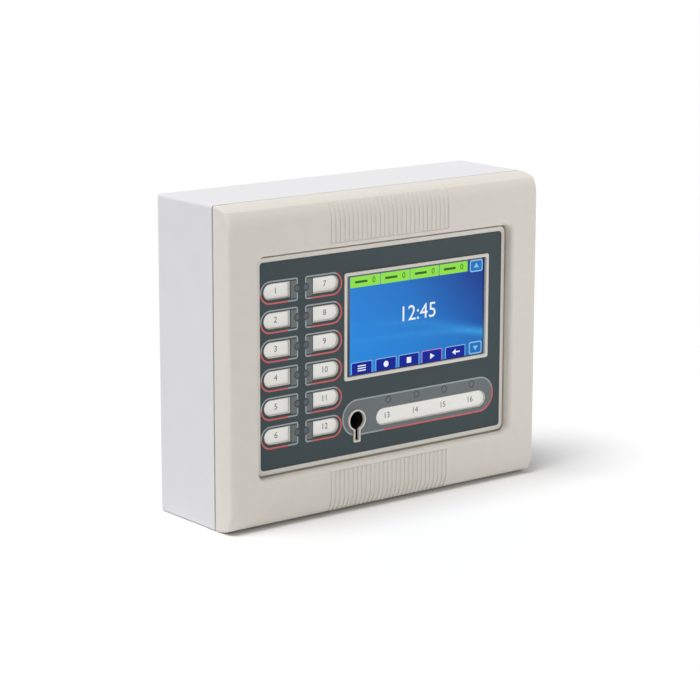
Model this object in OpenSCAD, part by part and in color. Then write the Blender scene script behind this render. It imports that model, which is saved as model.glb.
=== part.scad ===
// Wall-mounted fire alarm control panel: steel back box, hinged moulded cover, touch screen fascia.
// Frame: X to the right, Y into the wall, Z up. The origin is the centre of the back face.

/* [Enclosure] */
// Width of the box and cover
body_w = 212.5; // [208:0.5:230]
// Height of the box and cover
body_h = 174; // [170:0.5:190]
// Depth of the steel box
box_d = 49.5; // [48:0.5:60]
// Open seam between the box and the cover
seam_gap = 1.2; // [1.1:0.1:1.6]
// Depth of the cover behind its front plane
cover_d = 14.3; // [13.8:0.1:17]
// Sheet thickness of the box
sheet_t = 1.2; // [1:0.1:1.4]
// Wall thickness of the cover
cover_t = 2.5; // [2.2:0.1:2.8]
// Radius of the curve at the top and bottom of the cover's front
crown_r = 17; // [15:0.5:20]
// How far below the top the front plane starts to curve
crown_drop = 12; // [11:0.5:13]
// Radius of the cover's top and bottom, which fall towards the front
crown_top_r = 26; // [22:0.5:60]
// Tight edge where the front's curve meets the top's
crown_edge_r = 0.7; // [0.7:0.1:1.2]
// Rounding of the cover's upright front edges
side_edge_r = 2.5; // [1.5:0.1:3.5]
// Rounding of the corners seen from the front
corner_r = 1.5; // [1:0.1:3]

/* [Ribbed bands] */
// Distance from rib to rib
rib_pitch = 3; // [2.5:0.1:3.5]
// Number of ribs in a band
rib_count = 27; // [19:2:31]
// Width of the groove between two ribs
groove_w = 1.1; // [0.8:0.1:1.5]
// Depth of the groove between two ribs
groove_depth = 0.6; // [0.3:0.1:0.6]
// How far a groove runs on behind the curve
groove_run = 1.4; // [0.2:0.1:2]

/* [Fascia] */
// Width of the aperture in the cover
aperture_w = 174.6; // [173:0.2:180]
// Height of the aperture in the cover
aperture_h = 119.2; // [118:0.2:124]
// Corner radius of the aperture
aperture_r = 4; // [3.5:0.1:6]
// Rounding of the aperture's front edge
aperture_edge_r = 2.4; // [1:0.1:2.6]
// Depth of the fascia behind the cover's front plane
recess_d = 4.8; // [4.2:0.1:5.5]
// Open groove between the fascia and the aperture
rim_gap = 1.3; // [0.8:0.1:1.6]
// Pale rim around the overlay
rim_w = 2.4; // [1.5:0.1:3]
// Thickness of the overlay film
overlay_t = 0.25; // [0.2:0.05:0.4]
// Thickness of the carrier's raised field
plate_t = 2.6; // [2.4:0.1:3]
// Thickness of the carrier's flange
flange_t = 2.2; // [1.8:0.1:2.4]
// How far the flange reaches above and below the aperture
flange_reach = 4.6; // [4:0.1:5]
// How far the flange reaches to the sides of the aperture
flange_side_reach = 11.3; // [10.8:0.1:11.6]

/* [Indicator labels] */
// Rows of labels
label_rows = 6; // [4:1:6]
// Distance from row to row
row_pitch = 15.6; // [14:0.1:16]
// Height of the middle between the rows above the centre
rows_z = 0.95; // [0:0.05:2]
// Middle between the two columns of labels
columns_x = -56.5; // [-58:0.1:-56]
// Gap between the inner ends of the two label frames
column_gap = 4.6; // [4.2:0.1:6]
// Length of a printed label frame
frame_w = 24.6; // [23.5:0.1:24.8]
// Length of a label window
label_w = 17.4; // [15:0.1:18]
// Height of a label window
label_h = 8.7; // [7:0.1:9]
// Distance from the frame's round end to the window
label_inset = 2; // [1.5:0.1:2.4]
// Depth of a label pocket behind the overlay
pocket_d = 1.3; // [1:0.1:1.5]
// Thickness of a label card
card_t = 0.3; // [0.2:0.05:0.5]

/* [Status group] */
// Middle of the status lamps across
status_x = 32.75; // [30:0.25:34]
// Height of the status lamps
status_lamp_z = -29.2; // [-30:0.1:-28]
// Distance from status lamp to status lamp
status_pitch = 20; // [18:0.5:20.5]
// Length of the status label window
status_label_w = 79.2; // [74:0.2:82]
// Height of the status label window
status_label_h = 9.7; // [8:0.1:10.5]
// Height of the status label window's middle
status_label_z = -38.4; // [-40:0.1:-38]
// Radius of an indicator lamp
lamp_r = 1.5; // [1.2:0.05:1.6]

/* [Screen] */
// Middle of the screen frame across
screen_x = 23; // [22.5:0.1:24]
// Middle of the screen frame up
screen_z = 14.7; // [14.2:0.1:15.5]
// Width of the raised screen frame
bezel_w = 102; // [101:0.1:103]
// Height of the raised screen frame
bezel_h = 59; // [58.5:0.1:60]
// Width of the frame's own edge
bezel_edge = 1.7; // [1.2:0.1:2]
// How far the frame stands above the overlay
bezel_rise = 0.6; // [0.3:0.1:1]
// Width of the display module
lcd_w = 105.5; // [104.5:0.1:106]
// Height of the display module
lcd_h = 67.2; // [62:0.1:67.4]
// Thickness of the display module
lcd_t = 2.9; // [2.7:0.1:3.4]
// Thickness of the touch panel
touch_t = 1.2; // [1:0.1:1.5]
// Depth of the touch panel behind the overlay's front
glass_d = 2.1; // [2:0.1:2.4]
// How far the touch panel's face stands forward into the screen frame
touch_rise = 1.1; // [0.6:0.1:1.4]

/* [Key switch] */
// Place of the key switch across
key_x = -19.4; // [-20:0.1:-19]
// Place of the key switch up
key_z = -37.5; // [-38:0.1:-37.2]
// Radius of the round part of the keyhole
key_r = 5; // [4:0.1:5.4]
// Width of the keyhole's slot
key_slot_w = 2.7; // [2:0.1:3.6]
// Reach of the slot from the middle of the keyhole
key_slot_reach = 11.3; // [10.5:0.1:11.6]
// Width of the raised collar around the keyhole
collar_w = 0.9; // [0.8:0.1:1.6]
// Height of the collar above the overlay
collar_rise = 1; // [0.5:0.1:1.5]
// Radius of the key rotor
rotor_r = 13; // [12.9:0.1:13.2]
// Length of the key rotor
rotor_l = 12.5; // [11.5:0.1:13]
// Depth of the key socket in the rotor
socket_d = 10; // [8:0.1:10.5]
// Lift of the key cam over a quarter turn
cam_rise = 0.8; // [0.5:0.05:1]

/* [Hinge] */
// Distance of the hinge axis from the side of the box
hinge_in = 6; // [5.8:0.1:6.4]
// Distance of the hinge axis behind the box's front edge
hinge_back = 12; // [11.8:0.1:12.6]
// Height of the two hinges above and below the centre
hinge_z = 70; // [69.5:0.1:71]
// Radius of a hinge pin
hinge_pin_r = 1.5; // [1.3:0.05:1.6]
// Thickness of a hinge arm
arm_t = 3; // [2.5:0.1:3.2]

/* [Cover fixing] */
// Height of the two fixing screws above and below the centre
fixing_z = 45; // [30:1:48]
// Distance of a fixing screw behind the box's front edge
fixing_back = 4; // [3.6:0.1:5]
// Radius of a fixing screw's shank
fixing_r = 1.45; // [1.3:0.05:1.6]

/* [Wall fixing and cable entry] */
// Distance of a wall hole from the box's side
wall_hole_side = 21.25; // [18:0.25:30]
// Distance of a wall hole from the box's top or bottom
wall_hole_end = 6.5; // [6:0.1:7]
// Radius of a wall hole
wall_hole_r = 2.75; // [2:0.05:3]
// Radius of a cable entry in the back
entry_r = 10; // [8:0.25:10]
// Distance from cable entry to cable entry
entry_pitch = 42; // [36:1:50]
// Distance of the cable entries below the box's top
entry_drop = 15; // [14.5:0.1:16]
// Radius of the open grommet's bore
grommet_r = 6; // [4:0.25:6.5]

/* [Main board] */
// Height of the main board
main_h = 66; // [60:0.5:72]
// Room beside the main board for the hinge and the ribbon cable
main_left_room = 30.25; // [30:0.25:32]
// Room beside the main board on the right
main_right_room = 8.25; // [7:0.25:10]
// Room above the main board for the cables
main_top_room = 29; // [28.5:0.5:32]
// Height of the main board's standoffs
standoff_h = 8; // [6:0.5:9]
// Thickness of both boards
board_t = 1.6; // [1.4:0.1:1.8]
// Travel of the reset button
reset_travel = 0.5; // [0.3:0.1:0.8]

/* [Standby batteries] */
// Room between a battery and the side of the box
battery_room = 9.25; // [9:0.25:14]
// Depth of a battery
battery_d = 25; // [22:0.5:26]
// Room between the batteries and the main board
battery_drop = 3; // [2.5:0.5:6]
// Height of the shelf above the bottom of the box
shelf_up = 14; // [13.8:0.1:14.4]
// Sheet thickness of the shelf and the strap
strap_t = 1; // [0.8:0.1:1.1]

/* [Hidden] */
$fn = 48;
// Small overshoot of a cut past a face
over = 0.5;
// Air between neighbouring pieces that don't touch
air = 0.3;
// Running clearance of a turning piece
run = 0.05;
// Colours of the pieces
cream = [0.84, 0.82, 0.78];
white = [0.93, 0.93, 0.94];
slate = [0.24, 0.26, 0.28];
black = [0.06, 0.06, 0.07];
steel = [0.72, 0.73, 0.75];
brass = [0.78, 0.62, 0.3];
board_green = [0.1, 0.36, 0.2];
terminal_green = [0.25, 0.58, 0.3];

// Main planes
front_y = -(box_d + seam_gap + cover_d);
box_front_y = -box_d;
floor_y = -sheet_t;
side_x = body_w / 2;
top_z = body_h / 2;
wall_hole_x = side_x - wall_hole_side;
wall_hole_z = top_z - wall_hole_end;
entry_z = top_z - entry_drop;
shelf_z = shelf_up - top_z;

// Middles of the cover's front and top curves as [depth, height]
crown_front = [crown_r, top_z - crown_drop];
crown_top = [cover_d, top_z - crown_top_r];

// Depths behind the cover's front plane
overlay_back = recess_d + overlay_t;
plate_back = recess_d + plate_t;
flange_back = plate_back + flange_t;
glass_front = recess_d + glass_d;
lcd_front = glass_front + touch_t;
display_front = lcd_front + lcd_t;
display_back = display_front + board_t;

// Fascia outlines
field_w = aperture_w - 2 * rim_gap;
field_h = aperture_h - 2 * rim_gap;
field_r = aperture_r - rim_gap / 2;
overlay_w = field_w - 2 * rim_w;
overlay_h = field_h - 2 * rim_w;
overlay_r = 2;
flange_w = aperture_w + 2 * flange_side_reach;
flange_h = aperture_h + 2 * flange_reach;
flange_r = 4;
ear_w = 12;
ear_end = 3.5;
lip_wall = 2.2;
lip_back = plate_back - air;

// Fixings of the carrier: on the sides and on ears above and below
side_fixing_x = aperture_w / 2 + 7.7;
side_fixing_z = [-45, 0, 45];
ear_fixing_x = 30;
ear_fixing_z = aperture_h / 2 + 7.4;
carrier_fixings = concat(
    [for (s = [-1, 1], z = side_fixing_z) [s * side_fixing_x, z]],
    [for (s = [-1, 1], t = [-1, 1]) [s * ear_fixing_x, t * ear_fixing_z]]);
boss_r = 3;
tap_r = 1.3;
tap_shank_r = 1.25;
tap_head_r = 2.6;
tap_head_h = 1.8;
tap_skin = 1.5;
carrier_bite = 5;
arm_bite = 2.6;
display_bite = 2;
through_r = 1.6;

// Label and lamp places
rows = [for (i = [0:label_rows - 1]) rows_z + row_pitch * ((label_rows - 1) / 2 - i)];
lamp_in = 0.6;
lamp_off = column_gap / 2 + lamp_in;
label_off = column_gap / 2 + frame_w - label_inset - label_w / 2;
lamp_places = concat(
    [for (z = rows, s = [-1, 1]) [columns_x + s * lamp_off, z]],
    [for (i = [0:3]) [status_x + status_pitch * (i - 1.5), status_lamp_z]]);
lamp_hole_r = lamp_r + 0.1;
lamp_flange_r = lamp_r + 0.4;
lamp_flange_h = 1;
lamp_top_gap = 0.2;
film_hole_r = lamp_r - 0.15;
window_ledge = 0.4;
window_clear = 0.05;
card_clear = 0.15;
film_clear = 0.15;
status_label_x = status_x + 1.1;

// Display module
lcd_shift = [1.1, -0.3];
lcd_x = screen_x + lcd_shift[0];
lcd_z = screen_z + lcd_shift[1];
lcd_clear = 0.5;
window_w = bezel_w - 2 * bezel_edge;
window_h = bezel_h - 2 * bezel_edge;
bezel_r = 1.2;
window_r = 0.8;
touch_in = 0.75;

// Display board
display_w = 166;
display_h = 108;
display_in = 5;
display_fixings = [for (x = [-1, 1], z = [-1, 1])
    [x * (display_w / 2 - display_in), z * (display_h / 2 - display_in)]];
chip_h = 1.6;
big_chip = 14;
big_chip_places = [[0, 24], [26, 28], [50, 6]];
driver_chip = [6, 10];
driver_chip_h = 1.2;
driver_pitch = 11;
driver_start = [16, -12];
sounder_at = [58, -30];
sounder_r = 11;
sounder_h = 8;
sounder_hole_r = 1.2;
key_hole_r = rotor_r + 3.8;

// Key switch stack, as depths
web_t = 1.2;
web_back = plate_back + web_t;
rotor_front = web_back + air;
rotor_back = rotor_front + rotor_l;
cup_wall = 1.5;
cup_r = rotor_r + cup_wall;
cup_back = rotor_back + 0.2;
retainer_t = 1.5;
retainer_front = cup_back + 0.1;
retainer_back = retainer_front + retainer_t;
retainer_r = cup_r + 1.5;
retainer_skirt = 5;
shaft_r = 3;
spigot_r = 2.5;
cam_front = retainer_back + 0.4;
cam_t = 3;
cam_r = 13;
cam_peak = 100;
cam_back = cam_front + cam_t;
rod_clear = 0.12;
switch_x = key_x + key_hole_r + 0.6;
switch_w = 6.4;
switch_l = 20;
switch_over = 1.5;
switch_end = 1.5;
rod_r = 1.2;
rod_tip_r = 0.6;
rod_tip_l = 1;
rod_in = 3.5;

// Hinge
pivot_x = -side_x + hinge_in;
pivot_y = box_front_y + hinge_back;
hub_r = hinge_pin_r + 1.7;
relief_half = 4;
relief_d = 0.6;
leg_in = 14.2;
leg_w = 4;
leg_half = 2.7;
ear_t = 1.2;
ear_gap = arm_t + 0.8;
ear_reach = hinge_in - sheet_t + hinge_pin_r + 1.8;
pin_tail = 0.5;
pin_head_w = 0.8;
pin_head_h = 1;
pin_l = ear_gap + 2 * ear_t + pin_tail;
bracket_half = 4;
foot_l = 20;
foot_h = 10;
foot_t = 2;
foot_front = cover_t + 2;
arm_screw_in = [8, 16];
arm_fixings = [for (a = arm_screw_in, s = [-1, 1]) [pivot_x + leg_in + a, s * hinge_z]];

// Cover fixing
tongue_t = 4.8;
tongue_h = 16;
tongue_gap = 0.65;
tongue_out = side_x - sheet_t - tongue_gap;
tongue_reach = 8.5;
fixing_y = box_front_y + fixing_back;
fixing_head_gap = 0.65;
fixing_head_r = 3;
fixing_head_h = 2;
fixing_hex_r = 1.15;
fixing_hex_floor = 1;
fixing_start = tongue_out - tongue_t + 1;
fixing_l = side_x + fixing_head_gap - fixing_start;
slot_clear = 0.35;
slot_half = fixing_r + slot_clear;
insert_r = 2.4;

// Main board
main_top = standoff_h + board_t;
standoff_r = 3.1;
board_screw_r = 1.45;
board_screw_bite = 5;
board_head = [2.75, 2];
main_left = main_left_room - side_x;
main_right = side_x - main_right_room;
main_high = top_z - main_top_room;
main_low = main_high - main_h;
main_w = main_right - main_left;
main_x = (main_left + main_right) / 2;
main_z = (main_low + main_high) / 2;
// Layout grid of the board, in columns across
column = main_w / 87;
standoff_in = 5;
standoff_ends = [main_left + standoff_in, main_right - standoff_in];
upper_standoff_x = main_left + 28.75 * column;
standoffs = concat(
    [for (x = concat(standoff_ends, main_x)) [x, main_low + standoff_in]],
    [for (x = concat(standoff_ends, upper_standoff_x)) [x, main_high - standoff_in]]);
header_w = 9;
header_l = 34;
header_h = 9;
header_x = main_left + 7;
header_z = main_z;
display_header_x = header_x;
ribbon_w = 25.4;
ribbon_t = 1;
ribbon_turn_r = 5;
ribbon_loop_r = 4.5;
ribbon_loop_x = pivot_x + 12;
terminal_pitch = 2.5 * column;
terminal_d = 12;
terminal_h = 14;
terminal_z = main_high - 7;
mouth = [3.4, 5];
mouth_rise = 5;
mouth_deep = 2;
well_r = 1.9;
well_d = 4;
screw_r = 1.7;
screw_t = 2;
screw_slot = [0.6, 0.8];
mains_pitch = 5 * column;
mains_h = 18;
mains_mouth = [5.5, 6];
mains_mouth_rise = 6;
mains_well_r = 2.6;
mains_well_d = 6;
terminal_blocks = [for (b = [[16.5, 8], [41, 8], [59.5, 6]]) [main_left + b[0] * column, b[1]]];
small_chip = [6, 5];
small_chip_pitch = 4.5 * column;
small_chip_start = [main_left + 14 * column, terminal_z - terminal_d / 2 - 5];
relay = [9.5 * column, 15.5];
relay_h = 15;
relay_pitch = 11 * column;
relay_start = [main_left + 17 * column, small_chip_start[1] - 11];
reset_x = main_left + 37 * column;
reset_z = relay_start[1] + 1;
reset_body = 7;
reset_body_h = 4;
reset_r = 1.75;
reset_cap_h = 3;
reset_rest = 0.2;
card_w = 23 * column;
card_h = 20;
card_x = main_left + 21 * column;
card_z = main_low + 12;
card_gap = 9;
supply_w = 27 * column;
supply_h = main_h - 38;
supply_t = 22;
supply_flute = 1;
supply_x = main_left + 68.75 * column;
supply_z = main_low + 8 + supply_h / 2;
mains_x = main_left + 75 * column;
clock_x = main_left + 45 * column;
clock_z = main_high - 24;
earth_x = -side_x + 14;
earth_z = main_z - 15;
earth_r = 2;
earth_l = 16;
nut_r = 4;
nut_t = 3.2;
nut_heights = [0.2, 4.4];
fuse_z = main_high - 21;
fuse_base = [26, 9];
fuse_base_h = 3;
fuse_clip = [4, 1];
fuse_clip_h = 6;
fuse_clip_x = 8.5;
fuse_r = 2.6;
fuse_l = 20;
fuse_gap = 0.1;
fuse_clip_z = fuse_r + air + fuse_clip[1] / 2;
cap_r = 5;
cap_h = 16;
cap_pitch = 12;
cap_start = [main_left + 52 * column, main_low + 12];
regulator = [6, 8];
regulator_at = [main_left + 34.5 * column, relay_start[1] - 9];
processor_at = [main_left + 42.5 * column, main_low + 16];
cell_r = 6.25;
cell_t = 3.2;
cell_lift = 0.4;
cell_holder_r = 8.2;
cell_holder_h = 4;
card_socket_w = 5;
card_socket_in = 4;
card_chip_places = [[-8, 0, 10, 10], [8, 3, 8, 6]];

// Rubber grommet profile
neck_r = entry_r - 0.1;
brim_r = entry_r + 2;
brim_h = 2;
dome_r = entry_r - 1;
dome_h = 3.5;
dome_wall = 0.6;
web_h = 1.2;

// Batteries
battery_back = strap_t + 0.4;
battery_gap = 2;
battery_w = side_x - battery_gap / 2 - battery_room;
battery_h = main_low - battery_drop - shelf_z;
battery_x = (battery_w + battery_gap) / 2;
battery_z = shelf_z + battery_h / 2;
battery_front = battery_back + battery_d;
battery_top = shelf_z + battery_h;
strap_front = battery_front + air + strap_t;
strap_z = shelf_z + 43;
strap_w = 12;
strap_leg_x = battery_gap / 2 + battery_w + 0.4;
strap_foot = 6;
strap_screw_x = strap_leg_x + 3.2;
strap_screw_r = 1.1;
strap_head = [2.1, 1.6];
shelf_flange = [120, 10];
shelf_lip = 6;
tab_w = 4.75;
tab_t = 0.8;
tab_h = 6;
tab_y = battery_back + 12.5;
tab_in = 8;
tab_places = [for (s = [-1, 1], t = [-1, 1]) s * battery_x + t * (battery_w / 2 - tab_in)];
lead_r = 1;
socket_x = main_left + 37.5 * column;
socket_z = main_low + 5;
socket_w = 10;
socket_h = 6;
socket_l = 9;

// Points along an arc about c
function arc(c, r, a0, a1, n = 6) =
    [for (i = [0:n]) let(a = a0 + (a1 - a0) * i / n) c + r * [cos(a), sin(a)]];

// Rectangle with round corners, about the origin
function rounded(w, h, r) = concat(
    arc([w / 2 - r, h / 2 - r], r, 0, 90), arc([r - w / 2, h / 2 - r], r, 90, 180),
    arc([r - w / 2, r - h / 2], r, 180, 270), arc([w / 2 - r, r - h / 2], r, 270, 360));

module rounded_rect(w, h, r) {
    polygon(rounded(w, h, r));
}

// Draws a front view between two depths behind the cover's front plane
module plate(d0, d1) {
    translate([0, front_y + d1, 0])
        rotate([90, 0, 0])
            linear_extrude(d1 - d0)
                children();
}

// Draws a front view between two heights above the box's floor
module stack(h0, h1) {
    translate([0, floor_y - h0, 0])
        rotate([90, 0, 0])
            linear_extrude(h1 - h0)
                children();
}

module at(x, z) {
    translate([x, z])
        children();
}

module bar(x, z, w, h) {
    translate([x - w / 2, z - h / 2])
        square([w, h]);
}

// Turned piece standing on depth d, its profile given as radius and height towards the front
module turned(x, z, d, profile) {
    translate([x, front_y + d, z])
        rotate([90, 0, 0])
            rotate_extrude()
                polygon(profile);
}

// Pan head screw whose head rests at height h above the box's floor; shank and head are [radius, length]
module floor_screw(p, h, shank, head) {
    stack(h, h + head[1])
        at(p[0], p[1])
            circle(head[0]);
    stack(h - shank[1], h)
        at(p[0], p[1])
            circle(shank[0]);
}

// Tapping screw put in from behind, its head resting at depth d
module tapping_screw(x, z, d, shank_l) {
    plate(d, d + tap_head_h)
        at(x, z)
            circle(tap_head_r);
    plate(d - shank_l, d)
        at(x, z)
            circle(tap_shank_r);
}

// Point where two circles cross, the one nearer the front
function crossing(a, a_r, b, b_r) =
    let(way = b - a)
    let(apart = norm(way))
    let(along = (a_r * a_r - b_r * b_r + apart * apart) / (2 * apart))
    let(aside = sqrt(a_r * a_r - along * along))
    a + (along * way + aside * [way[1], -way[0]]) / apart;

function direction(way) = atan2(way[1], way[0]);

function tail(list) = [for (i = [1:len(list) - 1]) list[i]];

// Middle of the tight edge of the cover's side outline, set in by inset
function crown_edge(inset) =
    let(edge_r = max(crown_edge_r, inset))
    crossing(crown_front, crown_r - edge_r, crown_top, crown_top_r - edge_r);

// Half of the cover's side outline as [depth, height] points, set in by inset, from front to back
function crown(inset, back) =
    let(edge_r = max(crown_edge_r - inset, 0))
    let(edge = crown_edge(inset))
    let(low = direction(edge - crown_front))
    let(high = direction(edge - crown_top))
    concat(
        arc(crown_front, crown_r - inset, 180, low, 8),
        edge_r > 0 ? tail(arc(edge, edge_r, low, high, 3)) : [],
        tail(arc(crown_top, crown_top_r - inset, high, 90, 6)),
        [[back, top_z - inset]]);

module side_outline(inset, back) {
    upper = crown(inset, back);
    polygon(concat(upper, [for (i = [len(upper) - 1:-1:0]) [upper[i][0], -upper[i][1]]]));
}

// Turns a side outline of [depth, height] into a bar along X
module along_x(x0, x1) {
    translate([x0, front_y, 0])
        rotate([90, 0, 90])
            linear_extrude(x1 - x0)
                children();
}

// Quarter-round cut along the front edge of a rectangular aperture
module edge_cut(w, h, r, edge) {
    profile = concat([[-over, -over], [edge, -over]], arc([edge, edge], edge, 270, 180), [[-over, edge]]);
    for (s = [-1, 1]) {
        translate([-w / 2 + r, front_y, s * h / 2])
            rotate([0, 90, 0])
                linear_extrude(w - 2 * r)
                    polygon([for (p = profile) [-s * p[0], p[1]]]);
        translate([s * w / 2, front_y, r - h / 2])
            linear_extrude(h - 2 * r)
                polygon([for (p = profile) [s * p[0], p[1]]]);
        for (t = [-1, 1])
            translate([s * (w / 2 - r), front_y, t * (h / 2 - r)])
                rotate([-90, 0, 0])
                    rotate_extrude()
                        polygon([for (p = profile) [p[0] + r, p[1]]]);
    }
}

// Solid form of the cover: its side outline cut to its plan and to its front view
module cover_block() {
    intersection() {
        along_x(-side_x, side_x)
            side_outline(0, cover_d + over);
        translate([0, front_y, -top_z])
            linear_extrude(body_h)
                polygon(concat(
                    [[side_x, cover_d], [-side_x, cover_d]],
                    arc([side_edge_r - side_x, side_edge_r], side_edge_r, 180, 270),
                    arc([side_x - side_edge_r, side_edge_r], side_edge_r, 270, 360)));
        plate(-over, cover_d + over)
            rounded_rect(body_w, body_h, corner_r);
    }
}

module rib_grooves() {
    half = rib_pitch * rib_count / 2;
    for (i = [0:rib_count])
        along_x(i * rib_pitch - half - groove_w / 2, i * rib_pitch - half + groove_w / 2)
            for (s = [0, 1])
                mirror([0, s])
                    difference() {
                        translate([-over, aperture_h / 2 + aperture_edge_r])
                            square([over + crown_edge(0)[0] + groove_run, top_z]);
                        side_outline(groove_depth, cover_d + over);
                    }
}

// Front cover: curved moulding with an aperture, a lip round it, bosses and two tongues
module front_cover() {
    color(cream)
    difference() {
        union() {
            difference() {
                cover_block();
                cover_cavity();
            }
            plate(cover_t - over, lip_back)
                difference() {
                    rounded_rect(aperture_w + 2 * lip_wall, aperture_h + 2 * lip_wall, aperture_r + lip_wall);
                    rounded_rect(aperture_w, aperture_h, aperture_r);
                }
            plate(cover_t - over, plate_back)
                for (p = carrier_fixings)
                    at(p[0], p[1])
                        circle(boss_r);
            plate(cover_t - over, foot_front)
                for (p = arm_fixings)
                    at(p[0], p[1])
                        circle(boss_r);
            for (s = [-1, 1])
                cover_tongue(s * fixing_z);
        }
        plate(-over, lip_back + over)
            rounded_rect(aperture_w, aperture_h, aperture_r);
        edge_cut(aperture_w, aperture_h, aperture_r, aperture_edge_r);
        rib_grooves();
        hinge_relief();
        plate(tap_skin, plate_back + over)
            for (p = concat(carrier_fixings, arm_fixings))
                at(p[0], p[1])
                    circle(tap_r);
        for (s = [-1, 1])
            translate([tongue_out - tongue_t - over, fixing_y, s * fixing_z])
                rotate([0, 90, 0])
                    cylinder(r = insert_r, h = tongue_t + 2 * over);
    }
}

// Relief in the back edge of the top and bottom, which pass the box's edge as the cover opens
module hinge_relief() {
    for (s = [-1, 1])
        translate([pivot_x, front_y + cover_d, s * top_z])
            cube([2 * relief_half, 2 * relief_d, 2 * cover_t + over], center = true);
}

// Hollow of the cover: the side outline set in by the wall, open at the back
module cover_cavity() {
    along_x(cover_t - side_x, side_x - cover_t)
        side_outline(cover_t, cover_d + 2 * over);
}

// Tongue that reaches into the box behind the right wall and takes a fixing screw
module cover_tongue(z) {
    front = front_y + plate_back + air;
    translate([tongue_out - tongue_t, front, z - tongue_h / 2])
        cube([tongue_t, box_front_y + tongue_reach - front, tongue_h]);
}

module cover_inserts() {
    color(brass)
    for (s = [-1, 1])
        translate([tongue_out - tongue_t, fixing_y, s * fixing_z])
            rotate([0, 90, 0])
                difference() {
                    cylinder(r = insert_r, h = tongue_t);
                    translate([0, 0, -over])
                        cylinder(r = fixing_r + run, h = tongue_t + 2 * over);
                }
}

module cover_screws() {
    color(steel)
    for (s = [-1, 1])
        translate([fixing_start, fixing_y, s * fixing_z])
            rotate([0, 90, 0])
                difference() {
                    union() {
                        cylinder(r = fixing_r, h = fixing_l + over);
                        translate([0, 0, fixing_l])
                            cylinder(r = fixing_head_r, h = fixing_head_h);
                    }
                    translate([0, 0, fixing_l + fixing_hex_floor])
                        cylinder(r = fixing_hex_r, h = fixing_head_h, $fn = 6);
                }
}

// Back of the box: floor with the wall holes and the cable entries
module box_back() {
    color(white)
    stack(-sheet_t, 0)
        difference() {
            rounded_rect(body_w, body_h, corner_r);
            for (x = [-1, 1], z = [-1, 1])
                at(x * wall_hole_x, z * wall_hole_z)
                    circle(wall_hole_r);
            for (i = [-1:1])
                at(i * entry_pitch, entry_z)
                    circle(entry_r);
        }
}

// Front view of the box's walls
module wall_ring() {
    difference() {
        rounded_rect(body_w, body_h, corner_r);
        rounded_rect(body_w - 2 * sheet_t, body_h - 2 * sheet_t, corner_r - sheet_t / 2);
    }
}

// Top and bottom of the box, between its corners
module box_ends() {
    color(white)
    stack(0, box_d - sheet_t)
        intersection() {
            wall_ring();
            bar(0, 0, body_w - 2 * corner_r, body_h);
        }
}

// Sides of the box with its corners, and open slots for the cover screws in the right one
module box_sides() {
    color(white)
    difference() {
        stack(0, box_d - sheet_t)
            difference() {
                wall_ring();
                bar(0, 0, body_w - 2 * corner_r, body_h + over);
            }
        for (s = [-1, 1])
            translate([side_x - sheet_t - over, fixing_y, s * fixing_z]) {
                rotate([0, 90, 0])
                    cylinder(r = slot_half, h = sheet_t + 2 * over);
                translate([0, -fixing_back - over, -slot_half])
                    cube([sheet_t + 2 * over, fixing_back + over, 2 * slot_half]);
            }
    }
}

// Rubber grommets: the middle one open, the outer two closed
module cable_grommets() {
    color(black)
    for (i = [-1:1])
        translate([i * entry_pitch, 0, entry_z])
            rotate([90, 0, 0])
                rotate_extrude()
                    polygon(concat(
                        [[i == 0 ? grommet_r : 0, 0], [neck_r, 0], [neck_r, sheet_t + run]],
                        [[brim_r, sheet_t + run], [brim_r, sheet_t + brim_h], [dome_r, sheet_t + dome_h]],
                        i == 0
                            ? [[grommet_r, sheet_t + dome_h]]
                            : [[dome_r - dome_wall, sheet_t + web_h], [0, sheet_t + web_h]]));
}

module earth_stud() {
    color(brass)
    stack(0, earth_l)
        at(earth_x, earth_z)
            circle(earth_r);
}

module earth_nuts() {
    color(brass)
    for (h = nut_heights)
        stack(h, h + nut_t)
            at(earth_x, earth_z)
                difference() {
                    circle(nut_r, $fn = 6);
                    circle(earth_r + run);
                }
}

// Hinge brackets on the left wall: a plate with two ears that hold the pin
module hinge_brackets() {
    color(steel)
    for (s = [-1, 1])
        translate([-side_x + sheet_t, pivot_y, s * hinge_z])
            difference() {
                union() {
                    translate([0, -bracket_half, -ear_gap / 2 - ear_t])
                        cube([ear_t, 2 * bracket_half, ear_gap + 2 * ear_t]);
                    for (z = [-ear_gap / 2 - ear_t, ear_gap / 2])
                        translate([0, -bracket_half, z])
                            cube([ear_reach, 2 * bracket_half, ear_t]);
                }
                translate([hinge_in - sheet_t, 0, -ear_gap])
                    cylinder(r = hinge_pin_r + run / 2, h = 2 * ear_gap);
            }
}

module hinge_pins() {
    color(steel)
    for (s = [-1, 1])
        translate([pivot_x, pivot_y, s * hinge_z - ear_gap / 2 - ear_t - pin_tail]) {
            cylinder(r = hinge_pin_r, h = pin_l);
            translate([0, 0, pin_l])
                cylinder(r = hinge_pin_r + pin_head_w, h = pin_head_h);
        }
}

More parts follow.
